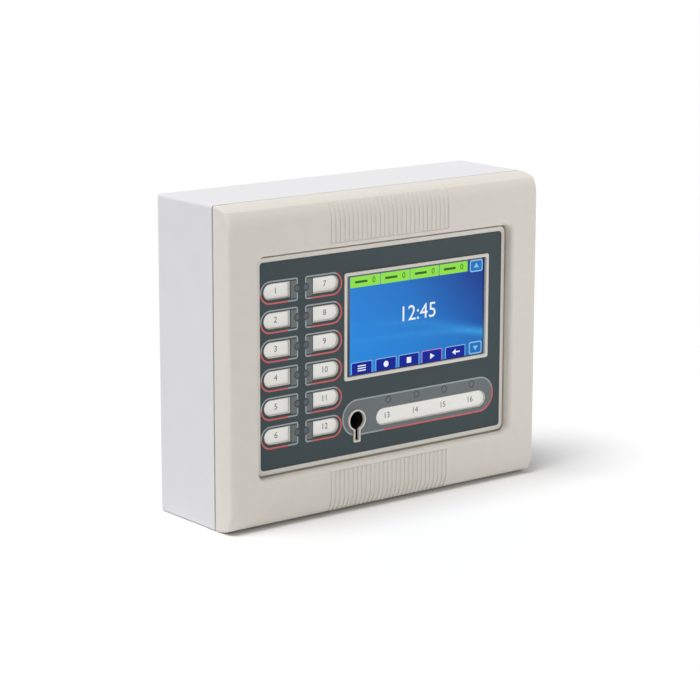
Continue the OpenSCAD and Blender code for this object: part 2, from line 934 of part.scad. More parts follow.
// Goose-neck arms: hub on the pin, along the box, forward round its edge, and a foot on the cover
module hinge_arms() {
    foot_y = front_y + foot_front;
    leg_x = pivot_x + leg_in;
    color(steel)
    for (s = [-1, 1])
        translate([0, 0, s * hinge_z])
            difference() {
                union() {
                    translate([pivot_x, pivot_y, -arm_t / 2])
                        cylinder(r = hub_r, h = arm_t);
                    translate([pivot_x, pivot_y - leg_half, -arm_t / 2])
                        cube([leg_in + leg_w, 2 * leg_half, arm_t]);
                    translate([leg_x, foot_y, -arm_t / 2])
                        cube([leg_w, pivot_y + leg_half - foot_y, arm_t]);
                    translate([leg_x, foot_y, -foot_h / 2])
                        cube([foot_l, foot_t, foot_h]);
                }
                translate([pivot_x, pivot_y, -arm_t])
                    cylinder(r = hinge_pin_r + run, h = 2 * arm_t);
                for (a = arm_screw_in)
                    translate([leg_x + a, foot_y + foot_t + over, 0])
                        rotate([90, 0, 0])
                            cylinder(r = through_r, h = foot_t + 2 * over);
            }
}

module arm_screws() {
    color(steel)
    for (p = arm_fixings)
        tapping_screw(p[0], p[1], foot_front + foot_t, foot_t + arm_bite);
}

// Keyhole outline, grown by an amount all round
module keyhole(grow) {
    circle(key_r + grow);
    at(-key_slot_w / 2 - grow, -key_slot_reach - grow)
        square([key_slot_w + 2 * grow, key_slot_reach + grow]);
}

// Label window: round at the outer end, square at the inner end; side is -1 left or 1 right
module label_outline(side, shrink) {
    r = label_h / 2 - shrink;
    inner = shrink - label_w / 2;
    outer = label_w / 2 - label_h / 2;
    mirror([side < 0 ? 1 : 0, 0]) {
        at(outer, 0)
            circle(r);
        at(inner, -r)
            square([outer - inner, 2 * r]);
    }
}

module label_windows_2d(shrink) {
    for (z = rows, s = [-1, 1])
        at(columns_x + s * label_off, z)
            label_outline(s, shrink);
    at(status_label_x, status_label_z) {
        bar(0, 0, status_label_w - status_label_h, status_label_h - 2 * shrink);
        for (s = [-1, 1])
            at(s * (status_label_w - status_label_h) / 2, 0)
                circle(status_label_h / 2 - shrink);
    }
}

// Fascia carrier: raised field, flange, screen frame, label pockets and an opening for the key housing
module fascia_carrier() {
    color(cream)
    difference() {
        union() {
            plate(recess_d, plate_back)
                rounded_rect(field_w, field_h, field_r);
            plate(plate_back, flange_back) {
                rounded_rect(flange_w, flange_h, flange_r);
                for (s = [-1, 1])
                    bar(s * ear_fixing_x, 0, ear_w, 2 * (ear_fixing_z + ear_end));
            }
            plate(recess_d - bezel_rise, overlay_back + over)
                at(screen_x, screen_z)
                    rounded_rect(bezel_w, bezel_h, bezel_r);
            plate(flange_back - over, display_front)
                for (p = display_fixings)
                    at(p[0], p[1])
                        circle(boss_r);
        }
        plate(recess_d - over, overlay_back)
            difference() {
                rounded_rect(overlay_w + 2 * film_clear, overlay_h + 2 * film_clear, overlay_r);
                at(screen_x, screen_z)
                    rounded_rect(bezel_w, bezel_h, bezel_r);
            }
        plate(-over, glass_front + over)
            at(screen_x, screen_z)
                rounded_rect(window_w, window_h, window_r);
        plate(glass_front, display_front + over)
            bar(lcd_x, lcd_z, lcd_w + 2 * lcd_clear, lcd_h + 2 * lcd_clear);
        plate(overlay_back - over, overlay_back + pocket_d)
            label_windows_2d(window_ledge);
        plate(overlay_back - over, flange_back + over)
            for (p = lamp_places)
                at(p[0], p[1])
                    circle(lamp_hole_r);
        plate(flange_back - tap_skin, display_front + over)
            for (p = display_fixings)
                at(p[0], p[1])
                    circle(tap_r);
        plate(plate_back - over, flange_back + over)
            for (p = carrier_fixings)
                at(p[0], p[1])
                    circle(through_r);
        at_key() {
            plate(recess_d - over, plate_back + over)
                keyhole(collar_w + film_clear);
            plate(plate_back, flange_back + over)
                circle(cup_r + film_clear);
        }
    }
}

module at_key() {
    translate([key_x, 0, key_z])
        children();
}

// Key housing: raised collar through the fascia, a web behind it and a cup round the rotor
module key_housing() {
    color(cream)
    at_key() {
        plate(recess_d - collar_rise, plate_back)
            difference() {
                keyhole(collar_w);
                keyhole(0);
            }
        plate(plate_back, web_back)
            difference() {
                circle(cup_r);
                keyhole(0);
            }
        plate(web_back, cup_back)
            difference() {
                circle(cup_r);
                circle(rotor_r + run);
            }
    }
}

module carrier_screws() {
    color(steel)
    for (p = carrier_fixings)
        tapping_screw(p[0], p[1], flange_back, flange_t + carrier_bite);
}

// Overlay film with openings for the screen frame, the keyhole, the labels and the lamps
module overlay_film() {
    color(slate)
    plate(recess_d, overlay_back)
        difference() {
            rounded_rect(overlay_w, overlay_h, overlay_r);
            at(screen_x, screen_z)
                rounded_rect(bezel_w + 2 * film_clear, bezel_h + 2 * film_clear, bezel_r + film_clear);
            at(key_x, key_z)
                keyhole(collar_w + film_clear);
            label_windows_2d(0);
            for (p = lamp_places)
                at(p[0], p[1])
                    circle(film_hole_r);
        }
}

module label_windows() {
    color([0.9, 0.92, 0.95, 0.4])
    plate(recess_d, overlay_back)
        label_windows_2d(window_clear);
}

module label_cards() {
    color([0.95, 0.95, 0.93])
    plate(overlay_back + pocket_d - card_t, overlay_back + pocket_d)
        label_windows_2d(window_ledge + card_clear);
}

// Touch panel: a plate behind the screen frame, with a raised face inside it
module touch_panel() {
    color([0.1, 0.12, 0.14, 0.6]) {
        plate(glass_front, lcd_front)
            bar(lcd_x, lcd_z, lcd_w - 2 * touch_in, lcd_h - 2 * touch_in);
        plate(glass_front - touch_rise, glass_front)
            at(screen_x, screen_z)
                rounded_rect(window_w - 2 * film_clear, window_h - 2 * film_clear, window_r);
    }
}

module display_module() {
    color(steel)
    plate(lcd_front, display_front)
        bar(lcd_x, lcd_z, lcd_w, lcd_h);
}

module display_board() {
    color(board_green)
    plate(display_front, display_back)
        difference() {
            bar(0, 0, display_w, display_h);
            at(key_x, key_z)
                circle(key_hole_r);
            for (p = display_fixings)
                at(p[0], p[1])
                    circle(through_r);
        }
}

module display_screws() {
    color(steel)
    for (p = display_fixings)
        tapping_screw(p[0], p[1], display_back, board_t + display_bite);
}

// Round-nosed lamps, their flanges on the display board
module indicator_lamps() {
    tall = display_front - overlay_back - lamp_top_gap;
    profile = concat(
        [[0, 0], [lamp_flange_r, 0], [lamp_flange_r, lamp_flange_h], [lamp_r, lamp_flange_h]],
        arc([0, tall - lamp_r], lamp_r, 0, 80, 5),
        [[0, tall]]);
    color([0.35, 0.37, 0.38])
    for (p = lamp_places)
        turned(p[0], p[1], display_front, profile);
}

module display_chips() {
    color(black) {
        plate(display_back, display_back + chip_h)
            for (p = big_chip_places)
                bar(p[0], p[1], big_chip, big_chip);
        plate(display_back, display_back + driver_chip_h)
            for (i = [0:4])
                bar(driver_start[0] + driver_pitch * i, driver_start[1], driver_chip[0], driver_chip[1]);
    }
}

module display_header() {
    color(black)
    plate(display_back, display_back + header_h)
        bar(display_header_x, header_z, header_w, header_l);
}

module sounder() {
    color(black)
    plate(display_back, display_back + sounder_h)
        at(sounder_at[0], sounder_at[1])
            difference() {
                circle(sounder_r);
                circle(sounder_hole_r);
            }
}

// Key rotor: drum with a keyhole socket and a shaft for the cam
module key_rotor() {
    color(black)
    at_key() {
        plate(rotor_front, rotor_front + socket_d)
            difference() {
                circle(rotor_r);
                keyhole(0);
            }
        plate(rotor_front + socket_d, rotor_back)
            circle(rotor_r);
        plate(rotor_back, cam_front)
            circle(shaft_r);
        plate(cam_front, cam_back)
            circle(spigot_r);
    }
}

// Cam radius at an angle: it rises evenly past a quarter turn, then falls back
function cam_at(a) = cam_r + cam_rise / 90 * (a <= cam_peak ? a : cam_peak * (360 - a) / (360 - cam_peak));

// Key cam: a spiral that lifts the switch rod evenly over a quarter turn
module key_cam() {
    color([0.85, 0.84, 0.8])
    at_key()
        plate(cam_front, cam_back)
            difference() {
                polygon([for (a = [0:5:355]) cam_at(a) * [cos(a), sin(a)]]);
                circle(spigot_r + run / 2);
            }
}

module key_retainer() {
    color(black)
    at_key() {
        plate(retainer_front, retainer_back)
            difference() {
                circle(retainer_r);
                circle(shaft_r + run);
            }
        plate(cup_back - retainer_skirt, retainer_front)
            difference() {
                circle(retainer_r);
                circle(cup_r + run);
            }
    }
}

// Micro switch on the display board, with a bore for its rod
module key_switch() {
    color([0.16, 0.16, 0.18])
    difference() {
        plate(display_back, cam_back + switch_over)
            bar(switch_x + switch_w / 2, key_z, switch_w, switch_l);
        translate([switch_x - over, front_y + cam_front + cam_t / 2, key_z])
            rotate([0, 90, 0])
                cylinder(r = rod_r + run, h = switch_w + over - switch_end);
    }
}

module switch_rod() {
    tip = key_x + cam_r + rod_clear;
    color([0.8, 0.2, 0.15])
    translate([tip, front_y + cam_front + cam_t / 2, key_z])
        rotate([0, 90, 0]) {
            cylinder(r = rod_tip_r, h = rod_tip_l);
            translate([0, 0, rod_tip_l])
                cylinder(r = rod_r, h = switch_x + rod_in - tip - rod_tip_l);
        }
}

module board_standoffs() {
    color(brass)
    for (p = standoffs)
        stack(0, standoff_h)
            difference() {
                at(p[0], p[1])
                    circle(standoff_r, $fn = 6);
                at(p[0], p[1])
                    circle(board_screw_r + run);
            }
}

module main_board() {
    color(board_green)
    stack(standoff_h, main_top)
        difference() {
            bar(main_x, main_z, main_w, main_h);
            for (p = standoffs)
                at(p[0], p[1])
                    circle(through_r);
        }
}

module board_screws() {
    color(steel)
    for (p = standoffs)
        floor_screw(p, main_top, [board_screw_r, board_t + board_screw_bite], board_head);
}

// Field terminals: stepped blocks with a wire mouth and a screw well for each way
module field_terminals() {
    color(terminal_green)
    for (b = terminal_blocks)
        difference() {
            stack(main_top, main_top + terminal_h)
                bar(b[0], terminal_z, b[1] * terminal_pitch, terminal_d);
            for (i = [0:b[1] - 1])
                at_way(b, i) {
                    wire_mouth(mouth, mouth_rise);
                    stack(main_top + terminal_h - well_d, main_top + terminal_h + over)
                        at(0, terminal_z)
                            circle(well_r);
                }
        }
}

// Mouth for a wire in the upper side of a terminal
module wire_mouth(size, rise) {
    low = floor_y - main_top - rise - size[1] / 2;
    translate([-size[0] / 2, low, terminal_z + terminal_d / 2 - mouth_deep])
        cube([size[0], size[1], mouth_deep + over]);
}

module at_way(block, i) {
    translate([block[0] + terminal_pitch * (i - (block[1] - 1) / 2), 0, 0])
        children();
}

module terminal_screws() {
    screw_top = main_top + terminal_h - well_d + screw_t;
    color(steel)
    for (b = terminal_blocks, i = [0:b[1] - 1])
        at_way(b, i)
            difference() {
                stack(screw_top - screw_t, screw_top)
                    at(0, terminal_z)
                        circle(screw_r);
                stack(screw_top - screw_slot[1], screw_top + over)
                    bar(0, terminal_z, screw_slot[0], 3 * screw_r);
            }
}

module mains_terminal() {
    color([0.75, 0.76, 0.78])
    difference() {
        stack(main_top, main_top + mains_h)
            bar(mains_x, terminal_z, 3 * mains_pitch, terminal_d);
        for (i = [-1:1])
            translate([mains_x + mains_pitch * i, 0, 0]) {
                wire_mouth(mains_mouth, mains_mouth_rise);
                stack(main_top + mains_h - mains_well_d, main_top + mains_h + over)
                    at(0, terminal_z)
                        circle(mains_well_r);
            }
    }
}

// Fuse holder: base with two clips
module fuse_holder() {
    color(black) {
        stack(main_top, main_top + fuse_base_h)
            bar(mains_x, fuse_z, fuse_base[0], fuse_base[1]);
        stack(main_top + fuse_base_h, main_top + fuse_base_h + fuse_clip_h)
            for (s = [-1, 1], t = [-1, 1])
                bar(mains_x + s * fuse_clip_x, fuse_z + t * fuse_clip_z, fuse_clip[0], fuse_clip[1]);
    }
}

module mains_fuse() {
    color([0.8, 0.84, 0.86])
    translate([mains_x - fuse_l / 2, floor_y - main_top - fuse_base_h - fuse_r - fuse_gap, fuse_z])
        rotate([0, 90, 0])
            cylinder(r = fuse_r, h = fuse_l);
}

module supply_module() {
    color([0.1, 0.1, 0.12])
    stack(main_top, main_top + supply_t)
        difference() {
            bar(supply_x, supply_z, supply_w, supply_h);
            for (s = [-1, 1])
                bar(supply_x + s * supply_w / 2, supply_z, 2 * supply_flute, supply_h / 2);
        }
}

module relays() {
    color([0.15, 0.2, 0.35])
    stack(main_top, main_top + relay_h)
        for (i = [0, 1])
            bar(relay_start[0] + relay_pitch * i, relay_start[1], relay[0], relay[1]);
}

module capacitors() {
    color([0.12, 0.16, 0.3])
    for (i = [0:2])
        stack(main_top, main_top + cap_h)
            at(cap_start[0], cap_start[1] + cap_pitch * i)
                circle(cap_r);
}

module board_chips() {
    card_top = main_top + card_gap + board_t;
    color(black) {
        stack(main_top, main_top + chip_h) {
            bar(processor_at[0], processor_at[1], big_chip, big_chip);
            bar(regulator_at[0], regulator_at[1], regulator[0], regulator[1]);
            for (i = [0:2])
                translate([small_chip_pitch * i, 0])
                    bar(small_chip_start[0], small_chip_start[1], small_chip[0], small_chip[1]);
        }
        stack(card_top, card_top + chip_h)
            for (c = card_chip_places)
                bar(card_x + c[0], card_z + c[1], c[2], c[3]);
    }
}

module clock_cell_holder() {
    color(black)
    stack(main_top, main_top + cell_holder_h)
        at(clock_x, clock_z)
            difference() {
                circle(cell_holder_r);
                circle(cell_r + card_clear);
            }
}

module clock_cell() {
    color(steel)
    stack(main_top + cell_lift, main_top + cell_lift + cell_t)
        at(clock_x, clock_z)
            circle(cell_r);
}

module option_card() {
    color(board_green)
    stack(main_top + card_gap, main_top + card_gap + board_t)
        bar(card_x, card_z, card_w, card_h);
}

module card_sockets() {
    color(black)
    stack(main_top, main_top + card_gap)
        for (s = [-1, 1])
            bar(card_x + s * (card_w / 2 - card_socket_in), card_z, card_socket_w, card_h - card_socket_in);
}

module ribbon_header() {
    color(black)
    stack(main_top, main_top + header_h)
        bar(header_x, header_z, header_w, header_l);
}

module battery_socket() {
    color([0.9, 0.9, 0.86])
    stack(main_top, main_top + socket_l)
        bar(socket_x, socket_z, socket_w, socket_h);
}

module reset_switch() {
    color(black)
    stack(main_top, main_top + reset_body_h)
        difference() {
            bar(reset_x, reset_z, reset_body, reset_body);
            at(reset_x, reset_z)
                circle(reset_r + run);
        }
}

module reset_button() {
    color([0.75, 0.15, 0.12])
    stack(main_top + reset_travel + reset_rest, main_top + reset_body_h + reset_cap_h)
        at(reset_x, reset_z)
            circle(reset_r);
}

module battery(side) {
    color([0.2, 0.22, 0.25])
    stack(battery_back, battery_front)
        bar(side * battery_x, battery_z, battery_w, battery_h);
}

module standby_battery_left() {
    battery(-1);
}

module standby_battery_right() {
    battery(1);
}

module battery_tabs() {
    color(steel)
    for (x = tab_places)
        translate([x - tab_w / 2, floor_y - tab_y - tab_t / 2, battery_top])
            cube([tab_w, tab_t, tab_h]);
}

// Battery shelf: a flange on the box's floor, the shelf and a front lip
module battery_shelf() {
    color(white) {
        stack(0, strap_t)
            bar(0, shelf_z + shelf_flange[1] / 2, shelf_flange[0], shelf_flange[1]);
        stack(0, strap_front)
            bar(0, shelf_z - strap_t / 2, 2 * strap_leg_x, strap_t);
        stack(strap_front - strap_t, strap_front)
            bar(0, shelf_z + shelf_lip / 2, 2 * strap_leg_x, shelf_lip);
    }
}

// Battery strap: across the front of both batteries, with a leg and a foot at each end
module battery_strap() {
    color(white)
    difference() {
        union() {
            stack(strap_front - strap_t, strap_front)
                bar(0, strap_z, 2 * (strap_leg_x + strap_t), strap_w);
            for (s = [-1, 1]) {
                stack(0, strap_front)
                    bar(s * (strap_leg_x + strap_t / 2), strap_z, strap_t, strap_w);
                stack(0, strap_t)
                    bar(s * (strap_leg_x + strap_foot / 2), strap_z, strap_foot, strap_w);
            }
        }
        stack(-over, strap_t + over)
            for (s = [-1, 1])
                at(s * strap_screw_x, strap_z)
                    circle(strap_screw_r + 2 * run);
    }
}

module strap_screws() {
    color(steel)
    for (s = [-1, 1])
        floor_screw([s * strap_screw_x, strap_z], strap_t, [strap_screw_r, strap_t - run], strap_head);
}

// Ring of eight points about p, across the direction d
function ring(p, d) =
    let(side = cross(d, abs(d[1]) > 0.9 * norm(d) ? [1, 0, 0] : [0, 1, 0]))
    let(u = side / norm(side))
    let(v = cross(d, u) / norm(d))
    [for (i = [0:7]) p + lead_r * (cos(45 * i) * u + sin(45 * i) * v)];

// Points of a smooth curve through four control points
function bend(a, b, c, d, n = 14) = [for (i = [0:n]) let(t = i / n)
    pow(1 - t, 3) * a + 3 * pow(1 - t, 2) * t * b + 3 * (1 - t) * t * t * c + pow(t, 3) * d];

// Round lead along a list of points
module lead(path) {
    last = len(path) - 1;
    points = [for (i = [0:last]) each ring(path[i], path[min(i + 1, last)] - path[max(i - 1, 0)])];
    sides = [for (i = [0:last - 1], j = [0:7]) let(k = (j + 1) % 8) each
        [[8 * i + j, 8 * i + k, 8 * i + 8 + k], [8 * i + j, 8 * i + 8 + k, 8 * i + 8 + j]]];
    polyhedron(points, concat([[for (j = [7:-1:0]) j]], sides, [[for (j = [0:7]) 8 * last + j]]));
}

// Leads from the outer tabs to the board socket, and the link between the inner tabs
module battery_leads() {
    tab_end = battery_top + tab_h + lead_r + air;
    tab_front = floor_y - tab_y;
    socket_front = floor_y - main_top - socket_l - lead_r;
    forward = [0, -9, 0];
    sag = [0, 0, -4];
    spread = [20, 0, 0];
    for (s = [-1, 1])
        color(s < 0 ? [0.7, 0.1, 0.1] : black) {
            start = [s * (battery_x + battery_w / 2 - tab_in), tab_front, tab_end];
            end = [socket_x + s * socket_w / 4, socket_front, socket_z];
            lead(bend(start, start + 2 * forward, end + 2 * forward + s * spread, end));
        }
    color(black) {
        left = [-battery_x + battery_w / 2 - tab_in, tab_front, tab_end];
        right = [battery_x - battery_w / 2 + tab_in, tab_front, tab_end];
        lead(bend(left, left + 1.5 * forward + sag, right + 1.5 * forward + sag, right));
    }
}

// Flat band of a thickness along a path of points
function band(path, thick) =
    let(last = len(path) - 1)
    let(way = [for (i = [0:last]) path[min(i + 1, last)] - path[max(i - 1, 0)]])
    let(off = [for (d = way) [-d[1], d[0]] / norm(d) * thick / 2])
    concat([for (i = [0:last]) path[i] + off[i]], [for (i = [last:-1:0]) path[i] - off[i]]);

// Ribbon cable: from the main board's header, round towards the hinge and back to the display board
module ribbon_cable() {
    start_y = floor_y - main_top - header_h;
    end_y = front_y + display_back + header_h;
    mid = (start_y + end_y) / 2;
    turn_x = header_x - ribbon_turn_r;
    path = concat(
        [[header_x, start_y]],
        arc([turn_x, mid + ribbon_loop_r + ribbon_turn_r], ribbon_turn_r, 360, 270),
        arc([ribbon_loop_x, mid], ribbon_loop_r, 90, 270, 12),
        arc([turn_x, mid - ribbon_loop_r - ribbon_turn_r], ribbon_turn_r, 90, 0),
        [[header_x, end_y]]);
    color([0.75, 0.76, 0.78])
    translate([0, 0, header_z - ribbon_w / 2])
        linear_extrude(ribbon_w)
            polygon(band(path, ribbon_t));
}

box_back();
box_ends();
box_sides();
cable_grommets();
earth_stud();
earth_nuts();
hinge_brackets();
hinge_pins();
board_standoffs();
main_board();
board_screws();
field_terminals();
terminal_screws();
mains_terminal();
fuse_holder();
mains_fuse();
supply_module();
relays();
capacitors();
board_chips();
clock_cell_holder();
clock_cell();
option_card();
card_sockets();
ribbon_header();
battery_socket();
reset_switch();
reset_button();
standby_battery_left();
standby_battery_right();
battery_tabs();
battery_shelf();
battery_strap();
strap_screws();
battery_leads();
ribbon_cable();
front_cover();
cover_inserts();
cover_screws();
hinge_arms();
arm_screws();
fascia_carrier();
key_housing();
carrier_screws();
overlay_film();
label_windows();
label_cards();
touch_panel();
display_module();
display_board();
display_screws();
indicator_lamps();
display_chips();
display_header();
sounder();
key_rotor();
key_cam();
key_retainer();
key_switch();
switch_rod();
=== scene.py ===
import math

import bmesh
import bpy
from bpy.props import FloatProperty, FloatVectorProperty, IntProperty, PointerProperty
from mathutils import Matrix, Vector
from mathutils.geometry import tessellate_polygon


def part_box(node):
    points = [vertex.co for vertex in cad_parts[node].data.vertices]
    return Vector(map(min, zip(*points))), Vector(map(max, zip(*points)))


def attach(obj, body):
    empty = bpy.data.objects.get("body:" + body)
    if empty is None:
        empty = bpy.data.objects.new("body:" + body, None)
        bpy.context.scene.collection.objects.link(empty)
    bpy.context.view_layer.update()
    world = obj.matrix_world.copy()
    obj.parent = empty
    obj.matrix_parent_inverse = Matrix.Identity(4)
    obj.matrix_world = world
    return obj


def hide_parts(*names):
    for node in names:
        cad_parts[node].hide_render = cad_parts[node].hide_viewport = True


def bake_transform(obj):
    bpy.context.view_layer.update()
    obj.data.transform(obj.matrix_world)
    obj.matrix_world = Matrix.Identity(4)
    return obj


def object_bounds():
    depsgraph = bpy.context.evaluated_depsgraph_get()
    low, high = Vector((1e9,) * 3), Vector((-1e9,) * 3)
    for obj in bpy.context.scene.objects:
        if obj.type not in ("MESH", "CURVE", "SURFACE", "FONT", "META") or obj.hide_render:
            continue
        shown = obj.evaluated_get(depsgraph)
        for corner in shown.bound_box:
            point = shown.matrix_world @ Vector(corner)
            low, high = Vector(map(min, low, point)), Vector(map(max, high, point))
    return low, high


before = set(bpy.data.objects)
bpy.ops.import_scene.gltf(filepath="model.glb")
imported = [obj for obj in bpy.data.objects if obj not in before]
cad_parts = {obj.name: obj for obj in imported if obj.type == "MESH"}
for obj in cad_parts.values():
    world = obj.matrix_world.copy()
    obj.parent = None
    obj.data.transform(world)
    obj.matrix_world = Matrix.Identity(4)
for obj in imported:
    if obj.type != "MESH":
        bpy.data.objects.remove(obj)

bl_info = {
    "name": "Fire alarm control panel",
    "version": (1, 0, 0),
    "blender": (4, 5, 0),
    "location": "3D View > Sidebar > Alarm panel",
    "description": "Dresses the fire alarm control panel and sets its stage",
    "category": "Object",
}

MM = 0.001
CAD_BOX = [list(corner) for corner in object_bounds()]

# Main planes, in millimetres, read from the frame
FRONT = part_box("front_cover")[0].y / MM
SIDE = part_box("box_back")[1].x / MM
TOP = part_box("box_back")[1].z / MM
BOX_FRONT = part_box("box_sides")[0].y / MM - FRONT


def front_of(node):
    """Depth of a node's front behind the cover's front plane."""
    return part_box(node)[0].y / MM - FRONT


def back_of(node):
    """Depth of a node's back behind the cover's front plane."""
    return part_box(node)[1].y / MM - FRONT


def halfway(low, high):
    """Point halfway between two corners."""
    return tuple((a + b) / 2 for a, b in zip(low, high))


def middle_of(node):
    """Middle of a node across and up."""
    x, _, z = halfway(*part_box(node))
    return x / MM, z / MM


# Cover moulding, into which the hinge arms are set
ARM_SET_IN = 9.8
COVER_BACK = front_of("hinge_arms") + ARM_SET_IN
CROWN_R = 17.0
CROWN_DROP = 12.0
CROWN_EDGE_R = 0.7
CROWN_TOP_R = 26.0
COVER_WALL = 2.45
SIDE_EDGE_R = 2.2
INNER_EDGE_R = 0.3
BODY_CORNER_R = 1.5
APERTURE_W = 174.6
APERTURE_H = 119.2
APERTURE_R = 4.0
APERTURE_EDGE_R = 2.4
LIP_WALL = 2.1
LIP_BACK = 7.1
# Shallow relief in the back edge, in front of the hinge brackets
RELIEF_X = (-104.0, -96.25)
RELIEF_DEPTH = 0.6
RELIEF_STEP = 0.02
BAND_STEP = 0.5
BAND_FLANK = 0.15
# Round shoulder of a rib: in from its flank, below its crest; its root is sunk into the groove
RIB_SHOULDER = [(0.0, 0.3), (0.12, 0.1), (0.35, 0.0)]
RIB_ROOT = 0.1

# Fascia print: label frames, status field and lamps
FIRST_ROW = 39.95
ROW_PITCH = 15.6
ROWS = [FIRST_ROW - ROW_PITCH * i for i in range(6)]
COLUMN_MIDDLE = -56.5
FRAME_INNER = 2.3
FRAME_OUTER = 26.7
FRAME_H = 11.8
LABEL_INNER = 7.5
FRAME_LINE_R = 5.85
FRAME_LINE_INSET = 0.45
FRAME_DROP = 0.4
CORNER_R = 1.0
LAMP_GAP = 2.3
# Where the red stretch of a frame starts along its lower edge, and the angle at which it ends
RED_RUN = {-1: (6.3, -5), 1: (3.4, 60)}
RED_SHARE = 1.1
LAMP_OFF = 2.9
LAMP_HOLE_R = 1.35
LENS_R = 1.33
LENS_T = 0.2
# Printed rings round the lamps: radius, width
ROW_RING = (1.65, 0.5)
STATUS_RING = (1.75, 0.6)
# Grey field between lamp and label: where it starts and ends, half its height, and the round cut at the lamp
FIELD_START = LAMP_OFF + 0.3
FIELD_END = LABEL_INNER - 0.5
FIELD_HALF = FRAME_LINE_R - 1.2
FIELD_CUT_R = 2.1
FIELD_CUT_TURN = 82
# Label numbers: distance from the middle between the columns, height
NUMBER_OFF = 16.2
NUMBER_TALL = 4.6
# Status field: left, right, low, high; its label: middle, width, height; where its red border starts and ends
STATUS_BOX = (-28.8, 78.5, -45.8, -26.3)
STATUS_LABEL = (33.85, -38.4, 79.2, 9.7)
STATUS_LABEL_R = STATUS_LABEL[3] / 2.01
STATUS_RED = (-0.8, 20)
STATUS_LAMPS = [(2.75 + 20 * i, -29.2) for i in range(4)]
KEY = (middle_of("key_rotor")[0], -37.5)
KEY_R = 5.0
KEY_SLOT_W = 2.7
KEY_SLOT_REACH = 11.3
COLLAR_W = 0.9
COLLAR_CLEAR = 0.15
# Black lining down the keyhole, painted shade for its dark depth: thickness, how deep it starts, its gap to
# the rotor
SHADE_LINING_T = 0.2
SHADE_LINING_SET_IN = 1.8
ROTOR_GAP = 0.35
PRINT_T = 0.03
PRINT_LAYER = 0.01

# Steel box: sheet, the round edge of its lip, and the slots for the cover screws
SHEET = 1.2
LIP_EDGE_R = 0.35
LIP_EDGE_MIDDLE = LIP_EDGE_R * 0.3
LEAST_CORNER_R = 0.4
LATCH_Z = 45
SLOT_R = 1.8
SLOT_DEPTH = 4
CUT_IN = 3
CUT_OUT = 1

# Shading and welding: angles in degrees, distances in metres, and in millimetres for points that touch
SMOOTH_ANGLE = 32
ROUND_ANGLE = 60
BEVEL_ANGLE = 40
FLAT_ANGLE = 0.5
WELD = 1e-6
SLIVER = 1e-7
TOUCH = 1e-6
# Finishes: broad unevenness in grains, and how far the gloss strays
BROAD_GRAIN = 14
GLOSS_SPREAD = 0.06
# Finishes by name, once they are made
MATERIALS = {}

# Lit picture of the screen
SCREEN_W = 95.04
SCREEN_H = 53.86
SCREEN_MIDDLE = middle_of("display_module")


def linear(code):
    """Linear colour of an sRGB hex value."""
    parts = [int(code[i:i + 2], 16) / 255 for i in (0, 2, 4)]
    return [v / 12.92 if v <= 0.04045 else ((v + 0.055) / 1.055) ** 2.4 for v in parts]


def length(name, description, millimetres):
    """Property for a length, kept in metres."""
    return FloatProperty(
        name=name, description=description, default=millimetres * MM, unit="LENGTH", precision=5)


def colour(name, description, code):
    """Property for a colour, given as an sRGB hex value."""
    return FloatVectorProperty(name=name, description=description, subtype="COLOR", default=linear(code))


class PanelSizes(bpy.types.PropertyGroup):
    """Sizes of the panel's details"""
    rib_count: IntProperty(name="Ribs", description="Ribs in a band", default=27, min=1)
    rib_pitch: length("Rib pitch", "Distance from rib to rib", 3.0)
    rib_width: length("Rib width", "Width of a rib", 1.9)
    groove_depth: length("Groove depth", "Depth between two ribs", 0.5)
    print_line: length("Printed line", "Width of the printed outlines", 0.8)
    soft_edge: length("Soft edge", "Radius of a moulded edge", 0.3)

    def millimetres(self, name):
        """A length as the shapes take it, without the noise of its storage."""
        return round(getattr(self, name) / MM, 4)


class PanelColours(bpy.types.PropertyGroup):
    """Colours of the panel's main surfaces"""
    cover: colour("Cover", "Moulded cover and fascia", "DCD7CE")
    box: colour("Box", "Powder coat of the steel box", "DCDCDE")
    overlay: colour("Overlay", "Printed overlay film", "39464A")
    outline: colour("Outline", "Pale printed outlines", "9BA3A5")
    accent: colour("Accent", "Red printed outlines", "CE5A58")


def add(tree, kind, values=None, links=None, **settings):
    """Adds a node with its settings, socket values and links."""
    made = tree.nodes.new(kind)
    for name, value in settings.items():
        setattr(made, name, value)
    for name, value in (values or {}).items():
        made.inputs[name].default_value = value
    for name, socket in (links or {}).items():
        tree.links.new(socket, made.inputs[name])
    return made


